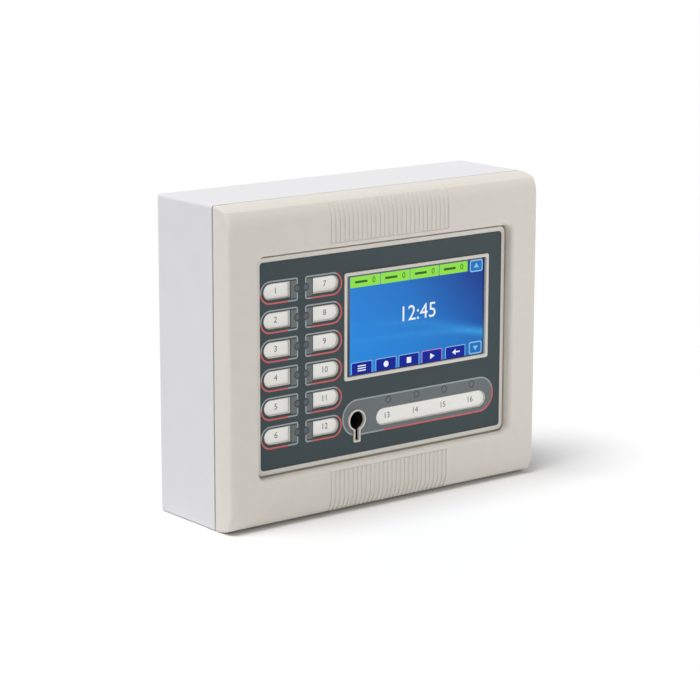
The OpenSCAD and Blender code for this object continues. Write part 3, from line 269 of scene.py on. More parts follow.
def surface(name, tint, roughness, grain=0.6, relief=0.01, mottle=0.03, stretch=(1, 1, 1), sockets=None):
    """Finish with a fine relief and uneven tone and gloss; grain and relief in millimetres."""
    made = bpy.data.materials.new(name)
    made.use_nodes = True
    tree = made.node_tree
    shader = tree.nodes["Principled BSDF"]
    for socket, value in (sockets or {}).items():
        shader.inputs[socket].default_value = value
    spot = add(tree, "ShaderNodeTexCoord")
    turn = add(tree, "ShaderNodeMapping", {"Scale": stretch}, {"Vector": spot.outputs["Object"]})
    way = {"Vector": turn.outputs["Vector"]}
    fine = add(tree, "ShaderNodeTexNoise", {"Scale": 1 / (grain * MM), "Detail": 2.0}, way)
    broad = add(tree, "ShaderNodeTexNoise", {"Scale": 1 / (BROAD_GRAIN * grain * MM), "Detail": 3.0}, way)
    low, high = ([min(c * (1 + sign * mottle), 1) for c in tint[:3]] for sign in (-1, 1))
    tone = add(
        tree, "ShaderNodeMix", {6: (*low, 1), 7: (*high, 1)}, {0: broad.outputs["Fac"]}, data_type="RGBA")
    gloss = add(
        tree, "ShaderNodeMapRange", {"To Min": roughness - GLOSS_SPREAD, "To Max": roughness + GLOSS_SPREAD},
        {"Value": broad.outputs["Fac"]})
    bump = add(
        tree, "ShaderNodeBump", {"Strength": 1.0, "Distance": relief * MM}, {"Height": fine.outputs["Fac"]})
    tree.links.new(tone.outputs[2], shader.inputs["Base Color"])
    tree.links.new(gloss.outputs["Result"], shader.inputs["Roughness"])
    tree.links.new(bump.outputs["Normal"], shader.inputs["Normal"])
    return made


class Shape:
    """Points and faces of a piece in millimetres: x, depth behind the cover's front plane, z."""

    def __init__(self):
        self.points = []
        self.faces = []

    def loop(self, points):
        """Adds points and returns their numbers."""
        start = len(self.points)
        self.points.extend(points)
        return list(range(start, len(self.points)))

    def band(self, first, second, closed=True):
        """Joins two rows of points by four-sided faces."""
        count = len(first)
        for i in range(count if closed else count - 1):
            k = (i + 1) % count
            self.faces.append((first[i], first[k], second[k], second[i]))

    def grid(self, rows, closed=False):
        """Joins each row of points, or each ring, to the next and returns the rows' numbers."""
        loops = [self.loop(row) for row in rows]
        for first, second in zip(loops, loops[1:]):
            self.band(first, second, closed)
        return loops

    def cap(self, loops):
        """Closes both ends of a run of rings."""
        self.faces.append(tuple(reversed(loops[0])))
        self.faces.append(tuple(loops[-1]))

    def rings(self, rings):
        """Joins closed rings in turn and caps both ends."""
        self.cap(self.grid(rings, closed=True))

    def prism(self, outline, front, back):
        """Front-view outline between two depths."""
        self.rings([[(x, d, z) for x, z in outline] for d in (front, back)])

    def block(self, low, high):
        """Box between two corners."""
        outline = [(low[0], low[2]), (high[0], low[2]), (high[0], high[2]), (low[0], high[2])]
        self.prism(outline, low[1], high[1])

    def turned(self, x, z, profile, steps=28):
        """Round solid about a front-to-back axis; the profile is (depth, radius) pairs."""
        self.rings([[(px, depth, pz) for px, pz in circle(x, z, r, steps)] for depth, r in profile])

    def case(self, low, high, steps, corner=0.8):
        """Box with round corners whose outline is set in by steps of (depth, inset)."""
        x, _, z = halfway(low, high)
        w, h = high[0] - low[0], high[2] - low[2]
        outlines = [(d, rounded(x, z, w - 2 * i, h - 2 * i, corner, 4)) for d, i in steps]
        self.rings([[(px, d, pz) for px, pz in outline] for d, outline in outlines])

    def stack(self, low, high, steps, corner=2.0):
        """Upright box with round edges whose plan is set in by steps of (height, inset)."""
        x, d, _ = halfway(low, high)
        w, t = high[0] - low[0], high[1] - low[1]
        plans = [(z, rounded(x, d, w - 2 * i, t - 2 * i, corner, 4)) for z, i in steps]
        self.rings([[(px, pd, z) for px, pd in plan] for z, plan in plans])

    def lying(self, d, z, profile, steps=24):
        """Round solid about a left-to-right axis; the profile is (x, radius) pairs."""
        self.rings([[(x, pd, pz) for pd, pz in circle(d, z, r, steps)] for x, r in profile])

    def sheet(self, outer, holes, front, back):
        """Flat sheet with holes between two depths."""
        loops = [outer, *holes]
        flat = [point for loop in loops for point in loop]
        tris = tessellate_polygon([[Vector((x, z, 0)) for x, z in loop] for loop in loops])
        near = self.loop([(x, front, z) for x, z in flat])
        far = self.loop([(x, back, z) for x, z in flat])
        for a, b, c in tris:
            self.faces.append((near[a], near[b], near[c]))
            self.faces.append((far[c], far[b], far[a]))
        start = 0
        for loop in loops:
            part = slice(start, start + len(loop))
            self.band(near[part], far[part])
            start += len(loop)

    def stroke(self, path, width, front, back, closed=False):
        """Flat line of a width along a front-view path."""
        last = len(path) - 1
        rings = []
        for i, (x, z) in enumerate(path):
            before = path[i - 1] if i or closed else path[0]
            after = path[(i + 1) % len(path)] if i < last or closed else path[last]
            way = Vector((after[0] - before[0], after[1] - before[1])).normalized() * width / 2
            left, right = (x - way.y, z + way.x), (x + way.y, z - way.x)
            rings.append([(left[0], front, left[1]), (right[0], front, right[1]),
                          (right[0], back, right[1]), (left[0], back, left[1])])
        loops = self.grid(rings, closed=True)
        if closed:
            self.band(loops[-1], loops[0])
        else:
            self.cap(loops)

    def mesh(self, name):
        """Plain mesh in metres in the frame, its faces pointing outwards."""
        made = bpy.data.meshes.new(name)
        made.from_pydata([(x * MM, (FRONT + d) * MM, z * MM) for x, d, z in self.points], [], self.faces)
        form = bmesh.new()
        form.from_mesh(made)
        bmesh.ops.remove_doubles(form, verts=form.verts, dist=WELD)
        bmesh.ops.dissolve_degenerate(form, edges=form.edges, dist=SLIVER)
        bmesh.ops.recalc_face_normals(form, faces=form.faces)
        form.to_mesh(made)
        form.free()
        return made


def dress(node, finish):
    """Gives a CAD node that stays in sight its finish."""
    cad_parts[node].data.materials[0] = MATERIALS[finish]


def new_object(name, data):
    """Puts a mesh, text, light or camera into the scene."""
    made = bpy.data.objects.new(name, data)
    bpy.context.scene.collection.objects.link(made)
    return made


def bake_modifiers(piece):
    """Turns the piece and its modifiers into one plain mesh."""
    graph = bpy.context.evaluated_depsgraph_get()
    mesh = bpy.data.meshes.new_from_object(piece.evaluated_get(graph))
    piece.modifiers.clear()
    old = piece.data
    piece.data = mesh
    bpy.data.meshes.remove(old)


def cut_out(piece, tool):
    """Cuts a mesh out of a piece."""
    cutter = new_object("cutter", tool)
    cut = piece.modifiers.new("Cut", "BOOLEAN")
    cut.object = cutter
    cut.solver = "EXACT"
    bake_modifiers(piece)
    bpy.data.objects.remove(cutter)


def place(piece, finish, body, slot, *nodes, edge=0.0, segments=2, angle=SMOOTH_ANGLE):
    """Completes a piece: soft edges, shading, finish, the body it rides and the nodes it stands for."""
    for face in piece.data.polygons:
        face.use_smooth = True
    if edge:
        bevel = piece.modifiers.new("Soft edges", "BEVEL")
        bevel.width = edge * MM
        bevel.segments = segments
        bevel.limit_method = "ANGLE"
        bevel.angle_limit = math.radians(BEVEL_ANGLE)
        bevel.loop_slide = False
    else:
        piece.data.set_sharp_from_angle(angle=math.radians(angle))
    level = piece.modifiers.new("Flat faces", "WEIGHTED_NORMAL")
    level.keep_sharp = True
    bake_modifiers(piece)
    piece.data.materials.clear()
    piece.data.materials.append(MATERIALS[finish])
    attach(piece, body)
    if nodes:
        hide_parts(*nodes)
    return piece


def built(name, shape, finish, body, slot, *nodes, edge=0.0, angle=SMOOTH_ANGLE):
    """Makes a piece from a shape."""
    piece = new_object(name, shape.mesh(name))
    return place(piece, finish, body, slot, *nodes, edge=edge, angle=angle)


def solids_of(*nodes):
    """Separate solids of nodes as plain meshes, from left to right."""
    form = bmesh.new()
    for node in nodes:
        form.from_mesh(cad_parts[node].data)
    bmesh.ops.remove_doubles(form, verts=form.verts, dist=WELD)
    bmesh.ops.dissolve_limit(
        form, angle_limit=math.radians(FLAT_ANGLE), verts=form.verts, edges=form.edges)
    form.verts.index_update()
    solids, left = [], set(form.verts)
    for start in form.verts:
        if start not in left:
            continue
        left.remove(start)
        part, todo = [], [start]
        while todo:
            vertex = todo.pop()
            part.append(vertex)
            for edge in vertex.link_edges:
                other = edge.other_vert(vertex)
                if other in left:
                    left.remove(other)
                    todo.append(other)
        number = {vertex: i for i, vertex in enumerate(part)}
        faces = [[number[v] for v in face.verts] for face in form.faces if face.verts[0] in number]
        mesh = bpy.data.meshes.new(nodes[0])
        mesh.from_pydata([vertex.co for vertex in part], [], faces)
        solids.append(mesh)
    form.free()
    return sorted(solids, key=lambda mesh: corners(mesh)[0])


def corners(mesh):
    """Low and high corners of a mesh in millimetres: x, depth, z."""
    points = [(v.co.x / MM, v.co.y / MM - FRONT, v.co.z / MM) for v in mesh.vertices]
    return tuple(map(min, zip(*points))), tuple(map(max, zip(*points)))


def boxes_of(node):
    """Corners of a node's separate solids."""
    return [corners(mesh) for mesh in solids_of(node)]


def copied(name, nodes, finish, body, slot, edge=0.0, segments=2):
    """Makes a piece from copies of solid nodes, with soft edges, and hides the nodes."""
    form = bmesh.new()
    for mesh in solids_of(*nodes):
        form.from_mesh(mesh)
    mesh = bpy.data.meshes.new(name)
    form.to_mesh(mesh)
    form.free()
    return place(new_object(name, mesh), finish, body, slot, *nodes, edge=edge, segments=segments)


def repeat_tree():
    """Node tree that puts a piece on each point of a mesh, or on a row of points."""
    if "Repeat" in bpy.data.node_groups:
        return bpy.data.node_groups["Repeat"]
    tree = bpy.data.node_groups.new("Repeat", "GeometryNodeTree")
    for name, kind in (("Places", "Geometry"), ("Piece", "Object"), ("Count", "Int"), ("Pitch", "Float"),
                       ("Finish", "Material")):
        tree.interface.new_socket(name, in_out="INPUT", socket_type="NodeSocket" + kind)
    tree.interface.new_socket("Pieces", in_out="OUTPUT", socket_type="NodeSocketGeometry")
    given = add(tree, "NodeGroupInput")
    steps = add(tree, "ShaderNodeMath", {1: 1.0}, {0: given.outputs["Count"]}, operation="SUBTRACT")
    span = add(
        tree, "ShaderNodeMath", None, {0: steps.outputs[0], 1: given.outputs["Pitch"]}, operation="MULTIPLY")
    start = add(tree, "ShaderNodeMath", {1: -0.5}, {0: span.outputs[0]}, operation="MULTIPLY")
    first = add(tree, "ShaderNodeCombineXYZ", None, {"X": start.outputs[0]})
    step = add(tree, "ShaderNodeCombineXYZ", None, {"X": given.outputs["Pitch"]})
    line = add(
        tree, "GeometryNodeMeshLine", None,
        {"Count": given.outputs["Count"], "Start Location": first.outputs[0], "Offset": step.outputs[0]})
    shape = add(tree, "GeometryNodeObjectInfo", None, {"Object": given.outputs["Piece"]})
    row = add(
        tree, "GeometryNodeInstanceOnPoints", None,
        {"Points": line.outputs["Mesh"], "Instance": shape.outputs["Geometry"]})
    turn = add(tree, "GeometryNodeInputNamedAttribute", {"Name": "turn"}, data_type="FLOAT_VECTOR")
    rows = add(
        tree, "GeometryNodeInstanceOnPoints", None,
        {"Points": given.outputs["Places"], "Instance": row.outputs["Instances"],
         "Rotation": turn.outputs["Attribute"]})
    real = add(tree, "GeometryNodeRealizeInstances", None, {"Geometry": rows.outputs["Instances"]})
    done = add(
        tree, "GeometryNodeSetMaterial", None,
        {"Geometry": real.outputs["Geometry"], "Material": given.outputs["Finish"]})
    add(tree, "NodeGroupOutput", None, {"Pieces": done.outputs["Geometry"]})
    return tree


def repeated(name, source, places, finish, body, slot, *nodes, turns=None, count=1, pitch=0.0,
             angle=SMOOTH_ANGLE):
    """Repeats a mesh made about the origin at places of x, depth, z, or in rows there, as one piece."""
    pattern = new_object(name + "_source", source)
    points = bpy.data.meshes.new(name)
    points.from_pydata([(x * MM, (FRONT + d) * MM, z * MM) for x, d, z in places], [], [])
    if turns:
        angles = points.attributes.new("turn", "FLOAT_VECTOR", "POINT")
        angles.data.foreach_set("vector", [v for turn in turns for v in (0.0, turn, 0.0)])
    piece = new_object(name, points)
    tree = repeat_tree()
    modifier = piece.modifiers.new("Repeat", "NODES")
    modifier.node_group = tree
    inputs = {"Piece": pattern, "Count": count, "Pitch": pitch * MM, "Finish": MATERIALS[finish]}
    for socket in tree.interface.items_tree:
        if socket.in_out == "INPUT" and socket.name in inputs:
            modifier[socket.identifier] = inputs[socket.name]
    bake_modifiers(piece)
    bpy.data.objects.remove(pattern)
    return place(piece, finish, body, slot, *nodes, angle=angle)


def arc(centre, radius, start, end, steps):
    """Front-view points along an arc, its angles in degrees."""
    angles = [math.radians(start + (end - start) * i / steps) for i in range(steps + 1)]
    return [(centre[0] + radius * math.cos(a), centre[1] + radius * math.sin(a)) for a in angles]


def rounded(x, z, w, h, r, steps=6):
    """Rectangle with round corners."""
    quarters = [(1, 1, 0), (-1, 1, 90), (-1, -1, 180), (1, -1, 270)]
    return [point for sx, sz, a in quarters for point in
            arc((x + sx * (w / 2 - r), z + sz * (h / 2 - r)), r, a, a + 90, steps)]


def circle(x, z, r, steps=32):
    """Points round a circle."""
    return arc((x, z), r, 0, 360, steps)[:-1]


def frame_lines(side):
    """Label frame on one side of the middle: two grey stretches and the red one between them."""
    r = FRAME_LINE_R
    inner, outer = FRAME_INNER + FRAME_LINE_INSET, FRAME_OUTER - FRAME_H / 2
    first, turn = RED_RUN[side]
    low_corner = arc((inner + CORNER_R, CORNER_R - r), CORNER_R, 180, 270, 4)
    high_corner = arc((inner + CORNER_R, r - CORNER_R), CORNER_R, 90, 180, 4)
    grey = [(inner, FRAME_DROP - LAMP_GAP), *low_corner, (inner + first, -r)]
    red = [(inner + first, -r), *arc((outer, 0), r, -90, turn, 14)]
    rest = [*arc((outer, 0), r, turn, 90, 10), *high_corner, (inner, FRAME_DROP + LAMP_GAP)]
    return [[(COLUMN_MIDDLE + side * x, z - FRAME_DROP) for x, z in line] for line in (grey, red, rest)]


def keyhole(grow, steps=28):
    """Keyhole outline, grown all round."""
    r, half = KEY_R + grow, KEY_SLOT_W / 2 + grow
    open_angle = math.degrees(math.asin(half / r))
    low = KEY[1] - KEY_SLOT_REACH - grow
    slot = [(KEY[0] - half, low), (KEY[0] + half, low)]
    return arc(KEY, r, open_angle - 90, 270 - open_angle, steps) + slot


def crossing(first, first_r, second, second_r):
    """Point where two circles cross: of the two, the one on the right of the way from first to second."""
    way = Vector(second) - Vector(first)
    along = (first_r ** 2 - second_r ** 2 + way.length_squared) / (2 * way.length)
    aside = math.sqrt(first_r ** 2 - along ** 2)
    way.normalize()
    return first[0] + along * way.x + aside * way.y, first[1] + along * way.y - aside * way.x


def crown(inset, lower):
    """Curved front and top of the cover, set in and lowered: (depth, height) from front to back."""
    front, front_r = (CROWN_R, TOP - CROWN_DROP), CROWN_R - inset
    top, top_r = (COVER_BACK, TOP - CROWN_TOP_R), CROWN_TOP_R - lower
    edge_r = max(CROWN_EDGE_R - max(inset, lower), 0)
    edge = crossing(front, front_r - edge_r, top, top_r - edge_r)
    low = math.degrees(math.atan2(edge[1] - front[1], edge[0] - front[0]))
    high = math.degrees(math.atan2(edge[1] - top[1], edge[0] - top[0]))
    curve = arc(front, front_r, 180, low, 14) + arc(edge, edge_r, low, high, 6)[1:]
    return curve, arc(top, top_r, high, 90, 8)[1:]


def corner_drop(x):
    """How far the round corner of the cover lies below its top at x."""
    over = max(0, abs(x) - (SIDE - BODY_CORNER_R))
    return BODY_CORNER_R - math.sqrt(BODY_CORNER_R ** 2 - over ** 2)


def cover_rows(inset, lower, groove, back):
    """Upper half of the cover in one column: (depth, height) from above the aperture to the back."""
    low = APERTURE_H / 2 + APERTURE_EDGE_R
    curve = crown(inset + groove, lower + groove)[0]
    top = crown(inset, lower)[1]
    return [(inset, low), (inset + groove, low + BAND_STEP), *curve, *top[:-1], (back, top[-1][1])]


def aperture_point(x, z, grow):
    """Point of the aperture's outline, grown, that belongs to a point on the rectangle round it."""
    straight_x, straight_z = APERTURE_W / 2 - APERTURE_R, APERTURE_H / 2 - APERTURE_R
    far_x, far_z = APERTURE_W / 2 + APERTURE_EDGE_R, APERTURE_H / 2 + APERTURE_EDGE_R
    sx, sz = math.copysign(1, x), math.copysign(1, z)
    r = APERTURE_R + grow
    on_end = abs(abs(z) - far_z) < TOUCH
    if on_end and abs(x) <= straight_x:
        return x, sz * (APERTURE_H / 2 + grow)
    if not on_end and abs(z) <= straight_z:
        return sx * (APERTURE_W / 2 + grow), z
    if on_end:
        angle = 90 - 45 * (abs(x) - straight_x) / (far_x - straight_x)
    else:
        angle = 45 * (abs(z) - straight_z) / (far_z - straight_z)
    turn = math.radians(angle)
    return sx * (straight_x + r * math.cos(turn)), sz * (straight_z + r * math.sin(turn))


def cover_shape(sizes):
    """Closed moulding of the cover: outer skin, aperture with its lip, inner skin and back rim."""
    far_x, far_z = APERTURE_W / 2 + APERTURE_EDGE_R, APERTURE_H / 2 + APERTURE_EDGE_R
    pitch, groove = sizes.millimetres("rib_pitch"), sizes.millimetres("groove_depth")
    band = pitch * (sizes.rib_count + 1) / 2 - sizes.millimetres("rib_width") / 2
    turns = [math.radians(15 * i) for i in range(7)]
    sides = [(SIDE - SIDE_EDGE_R + SIDE_EDGE_R * math.sin(t), SIDE_EDGE_R * (1 - math.cos(t))) for t in turns]
    corner_xs, corner_zs = (
        [size / 2 - APERTURE_R + (APERTURE_R + APERTURE_EDGE_R) * i / 5 for i in range(6)]
        for size in (APERTURE_W, APERTURE_H))
    # Columns of the outer skin: x, set-in at the side, groove depth
    half = [(band - BAND_FLANK, 0, groove), (band, 0, 0)]
    half += [(x, 0, 0) for x in corner_xs] + [(x, inset, 0) for x, inset in sides]
    columns = [(-x, e, g) for x, e, g in reversed(half)] + half
    columns += [(x, 0, 0) for x in (RELIEF_X[0], RELIEF_X[0] - RELIEF_STEP)]
    columns += [(x, 0, 0) for x in (RELIEF_X[1], RELIEF_X[1] + RELIEF_STEP)]
    columns = sorted(columns)
    zs = sorted([-z for z in corner_zs] + corner_zs)
    shape = Shape()

    def back_at(x):
        """Depth of the back edge."""
        return COVER_BACK - (RELIEF_DEPTH if RELIEF_X[0] <= x <= RELIEF_X[1] else 0)

    def inner_x(x):
        """Where a column of the outer skin lies on the inner one."""
        limit = SIDE - COVER_WALL
        over = max(0, abs(x) - (SIDE - SIDE_EDGE_R))
        return math.copysign(min(abs(x), limit - INNER_EDGE_R + INNER_EDGE_R * over / SIDE_EDGE_R), x)

    def skin(inner):
        """Upper and lower parts, side strips and side faces of one skin; returns its back edges."""
        ends = []
        for sign in (1, -1):
            rows = []
            for x, inset, groove in columns:
                if inner:
                    path = cover_rows(COVER_WALL, COVER_WALL, 0, back_at(x))
                else:
                    path = cover_rows(inset, corner_drop(x), groove, back_at(x))
                rows.append([(inner_x(x) if inner else x, d, sign * z) for d, z in path])
            loops = shape.grid(rows)
            ends.append([loop[-1] for loop in loops])
            ends.append([loops[0], loops[-1]])
        for side in (-1, 1):
            strip = [(x, inset) for x, inset, _ in columns if side * x >= far_x - TOUCH]
            if inner:
                strip = [(inner_x(x), COVER_WALL) for x, _ in strip]
            shape.grid([[(x, inset, z) for z in zs] for x, inset in strip])
        for i, side in ((0, -1), (-1, 1)):
            x, inset = side * SIDE, SIDE_EDGE_R
            if inner:
                x, inset = inner_x(x), COVER_WALL
            middle = shape.loop([(x, inset, z) for z in zs[1:-1]])
            upper, lower = ends[1][i], ends[3][i]
            shape.faces.append(tuple(lower[::-1] + middle + upper))
        return ends[0], ends[2]

    def ring(depth, grow):
        """Ring round the aperture, grown from it, or the rectangle round it if grow is None."""
        top = [c[0] for c in columns if abs(c[0]) <= far_x + TOUCH]
        path = [(x, far_z) for x in reversed(top)] + [(-far_x, z) for z in reversed(zs[1:-1])]
        path += [(x, -far_z) for x in top] + [(far_x, z) for z in zs[1:-1]]
        if grow is not None:
            path = [aperture_point(x, z, grow) for x, z in path]
        return shape.loop([(x, depth, z) for x, z in path])

    outer_ends = skin(False)
    inner_ends = skin(True)
    for first, second in zip(outer_ends, inner_ends):
        shape.band(first, second, closed=False)
    for i in (0, -1):
        shape.faces.append((outer_ends[0][i], outer_ends[1][i], inner_ends[1][i], inner_ends[0][i]))
    loops = [ring(0, None)]
    for i in range(8):
        a = math.radians(90 * i / 7)
        loops.append(ring(APERTURE_EDGE_R * (1 - math.cos(a)), APERTURE_EDGE_R * (1 - math.sin(a))))
    loops += [ring(LIP_BACK, 0), ring(LIP_BACK, LIP_WALL), ring(COVER_WALL, LIP_WALL), ring(COVER_WALL, None)]
    for first, second in zip(loops, loops[1:]):
        shape.band(first, second)
    return shape


def rib_shape(sizes):
    """One rib above and one below the aperture, with round shoulders, about x = 0."""
    half, depth = sizes.millimetres("rib_width") / 2, sizes.millimetres("groove_depth")
    section = [(half, depth + RIB_ROOT)] + [(half - x, inset) for x, inset in RIB_SHOULDER]
    section += [(-x, inset) for x, inset in reversed(section)]
    low = APERTURE_H / 2 + APERTURE_EDGE_R + BAND_STEP
    shape = Shape()
    for sign in (1, -1):
        paths = []
        for x, inset in section:
            curve, top = crown(inset, inset)
            path = [(inset, low), *curve, top[0]]
            paths.append([(x, d, sign * z) for d, z in path])
        loops = shape.grid(paths)
        shape.band(loops[-1], loops[0], closed=False)
        shape.faces.append(tuple(loop[0] for loop in loops))
        shape.faces.append(tuple(loop[-1] for loop in reversed(loops)))
    return shape


# Fixings of the fascia carrier and of the hinge arms on the cover
SIDE_FIXING_X = APERTURE_W / 2 + 7.7
EAR_FIXING_Z = APERTURE_H / 2 + 7.4
CARRIER_FIXINGS = [(s * SIDE_FIXING_X, z) for s in (-1, 1) for z in (-45, 0, 45)]
CARRIER_FIXINGS += [(s * 30, t * EAR_FIXING_Z) for s in (-1, 1) for t in (-1, 1)]
ARM_FIXINGS = [(x, s * 70) for x in (-78.05, -70.05) for s in (-1, 1)]
# Bosses and tongues: how far a boss runs past the tip of its screw, and the tongues that hold the inserts
BOSS_R = 3.0
BOSS_SINK = 0.2
SCREW_GRIP = 5
TONGUE_FRONT = 7.7
TONGUE_REACH = 8.5
TONGUE_HALF = 8


class PANEL_OT_cover(bpy.types.Operator):
    """Moulded front cover with its ribbed bands, bosses and tongues"""
    bl_idname = "panel.cover"
    bl_label = "Front cover"

    def execute(self, context):
        sizes = context.scene.panel_sizes
        shape = cover_shape(sizes)
        built("cover_shell", shape, "cover", "cover", "cover_plastic", "front_cover", angle=28)
        source = rib_shape(sizes).mesh("rib")
        repeated("cover_ribs", source, [(0, -FRONT, 0)], "cover", "cover", "cover_plastic",
                 count=sizes.rib_count, pitch=sizes.millimetres("rib_pitch"), angle=40)
        posts = Shape()
        for spots, end in ((CARRIER_FIXINGS, front_of("carrier_screws") + SCREW_GRIP),
                           (ARM_FIXINGS, front_of("hinge_arms"))):
            for x, z in spots:
                posts.prism(circle(x, z, BOSS_R, 24), COVER_WALL - BOSS_SINK, end)
        low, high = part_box("cover_inserts")
        for z in (-LATCH_Z, LATCH_Z):
            posts.block((low.x / MM, TONGUE_FRONT, z - TONGUE_HALF),
                        (high.x / MM, BOX_FRONT + TONGUE_REACH, z + TONGUE_HALF))
        built("cover_posts", posts, "cover", "cover", "cover_plastic", edge=0.25)
        return {"FINISHED"}


class PANEL_OT_box(bpy.types.Operator):
    """Folded steel box with its floor, walls and grommets"""
    bl_idname = "panel.box"
    bl_label = "Steel box"

    def execute(self, context):
        floor = -FRONT - SHEET
        walls = Shape()
        # Section of a wall: in from outside, depth
        section = [(0, floor), (0, BOX_FRONT + LIP_EDGE_R)]
        section += [(LIP_EDGE_MIDDLE, BOX_FRONT + LIP_EDGE_MIDDLE), (LIP_EDGE_R, BOX_FRONT)]
        section += [(SHEET - inset, depth) for inset, depth in reversed(section)]
        rings = []
        for inset, depth in section:
            r = max(BODY_CORNER_R - inset, LEAST_CORNER_R)
            path = rounded(0, 0, 2 * (SIDE - inset), 2 * (TOP - inset), r, 8)
            rings.append([(x, depth, z) for x, z in path])
        loops = walls.grid(rings, closed=True)
        walls.band(loops[-1], loops[0])
        piece = new_object("box_walls", walls.mesh("box_walls"))
        slots = Shape()
        path = arc((BOX_FRONT + SLOT_DEPTH, 0), SLOT_R, -90, 90, 12)
        path = [(BOX_FRONT - CUT_OUT, -SLOT_R), *path, (BOX_FRONT - CUT_OUT, SLOT_R)]
        for middle in (-LATCH_Z, LATCH_Z):
            slots.rings([[(x, d, middle + z) for d, z in path] for x in (SIDE - CUT_IN, SIDE + CUT_OUT)])
        cut_out(piece, slots.mesh("slots"))
        place(piece, "powder coat", "enclosure", "powder_coat", "box_ends", "box_sides")
        copied("box_floor", ["box_back"], "powder coat", "enclosure", "powder_coat", edge=0.3)
        copied("grommets", ["cable_grommets"], "rubber", "enclosure", "rubber_black", edge=0.4)
        return {"FINISHED"}


class PANEL_OT_fascia(bpy.types.Operator):
    """Fascia carrier, key housing and printed overlay film"""
    bl_idname = "panel.fascia"
    bl_label = "Fascia"

    def execute(self, context):
        sizes = context.scene.panel_sizes
        self.mouldings(sizes.millimetres("soft_edge"))
        self.prints(sizes.millimetres("print_line"))
        self.lamps()
        return {"FINISHED"}

    def mouldings(self, edge):
        """Carrier, collar of the keyhole and a black lining in it that paints the shade deep in the keyhole.
        """
        copied("carrier", ["fascia_carrier"], "cover", "cover", "cover_plastic", edge=edge)
        copied("key_collar", ["key_housing"], "cover", "cover", "cover_plastic", edge=edge)
        # Painted shade: a black lining on the keyhole's walls, from a little behind the collar's front back
        # to the rotor
        sleeve = Shape()
        sleeve.stroke(keyhole(-SHADE_LINING_T / 2), SHADE_LINING_T, front_of("key_housing") + SHADE_LINING_SET_IN,
                      front_of("key_rotor") - ROTOR_GAP, closed=True)
        built("key_sleeve", sleeve, "black plastic", "cover", "black_plastic")

    def prints(self, line):
        """Overlay film with its grey fields, outlines, red stretches and lamp rings."""
        dress("overlay_film", "overlay")
        far = front_of("overlay_film")
        near = far - PRINT_T
        outlines, accents, fields, rings = Shape(), Shape(), Shape(), Shape()
        for z in ROWS:
            for side in (-1, 1):
                grey, red, rest = ([(x, z + v) for x, v in run] for run in frame_lines(side))
                outlines.stroke(grey, line, near, far)
                outlines.stroke(rest, line, near, far)
                accents.stroke(red, line * RED_SHARE, near, far)
                field = [(FIELD_START, FIELD_HALF), (FIELD_END, FIELD_HALF)]
                field += [(FIELD_END, -FIELD_HALF), (FIELD_START, -FIELD_HALF)]
                field += arc((LAMP_OFF, FRAME_DROP), FIELD_CUT_R, -FIELD_CUT_TURN, FIELD_CUT_TURN, 12)
                fields.prism([(COLUMN_MIDDLE + side * x, z + v - FRAME_DROP) for x, v in field], near, far)
                ring_r, ring_w = ROW_RING
                spot = circle(COLUMN_MIDDLE + side * LAMP_OFF, z, ring_r, 24)
                rings.stroke(spot, ring_w, near - PRINT_LAYER, far, closed=True)
        left, right, low, high = STATUS_BOX
        r, level = (high - low) / 2, (low + high) / 2
        ends = (left + r, level), (right - r, level)
        slot = KEY_SLOT_W / 2 + COLLAR_W + COLLAR_CLEAR
        drop = math.sqrt(r * r - (ends[0][0] - KEY[0] + slot) ** 2)
        cut = 360 + math.degrees(math.atan2(-drop, KEY[0] - slot - ends[0][0]))
        border = [(KEY[0] + slot, low), *arc(ends[1], r, -90, 90, 24), *arc(ends[0], r, 90, cut, 24)]
        outlines.stroke(border, line, near - PRINT_LAYER, far)
        notch = keyhole(COLLAR_W + COLLAR_CLEAR)[-3::-1]
        label = rounded(*STATUS_LABEL, STATUS_LABEL_R, 12)
        holes = [label] + [circle(x, z, LAMP_HOLE_R, 24) for x, z in STATUS_LAMPS]
        fields.sheet(border + notch, holes, near, far)
        first, turn = STATUS_RED
        red = [(first, low), *arc(ends[1], r, -90, turn, 20)]
        accents.stroke(red, line * RED_SHARE, near - 2 * PRINT_LAYER, far)
        ring_r, ring_w = STATUS_RING
        for x, z in STATUS_LAMPS:
            rings.stroke(circle(x, z, ring_r, 28), ring_w, near - 2 * PRINT_LAYER, far, closed=True)
        for name, shape, finish in (("print_fields", fields, "print grey"),
                                    ("print_outlines", outlines, "print pale"),
                                    ("print_accents", accents, "print red"),
                                    ("print_lamp_rings", rings, "print dark")):
            built(name, shape, finish, "cover", "overlay_print")

    def lamps(self):
        """Lamps and the windows in front of them."""
        front = front_of("overlay_film")
        lens = Shape()
        lens.turned(0, 0, [(-FRONT, LENS_R), (-FRONT + LENS_T, LENS_R)], 24)
        row_lamps = [(COLUMN_MIDDLE + side * LAMP_OFF, front, z) for z in ROWS for side in (-1, 1)]
        status = [(x, front, z) for x, z in STATUS_LAMPS]
        for name, spots, finish in (("lamp_windows", row_lamps, "smoked film"),
                                    ("status_windows", status, "print grey")):
            repeated(name, lens.mesh("lens"), spots, finish, "cover", "window_film")
        copied("lamps", ["indicator_lamps"], "lamp", "cover", "lamp_plastic")


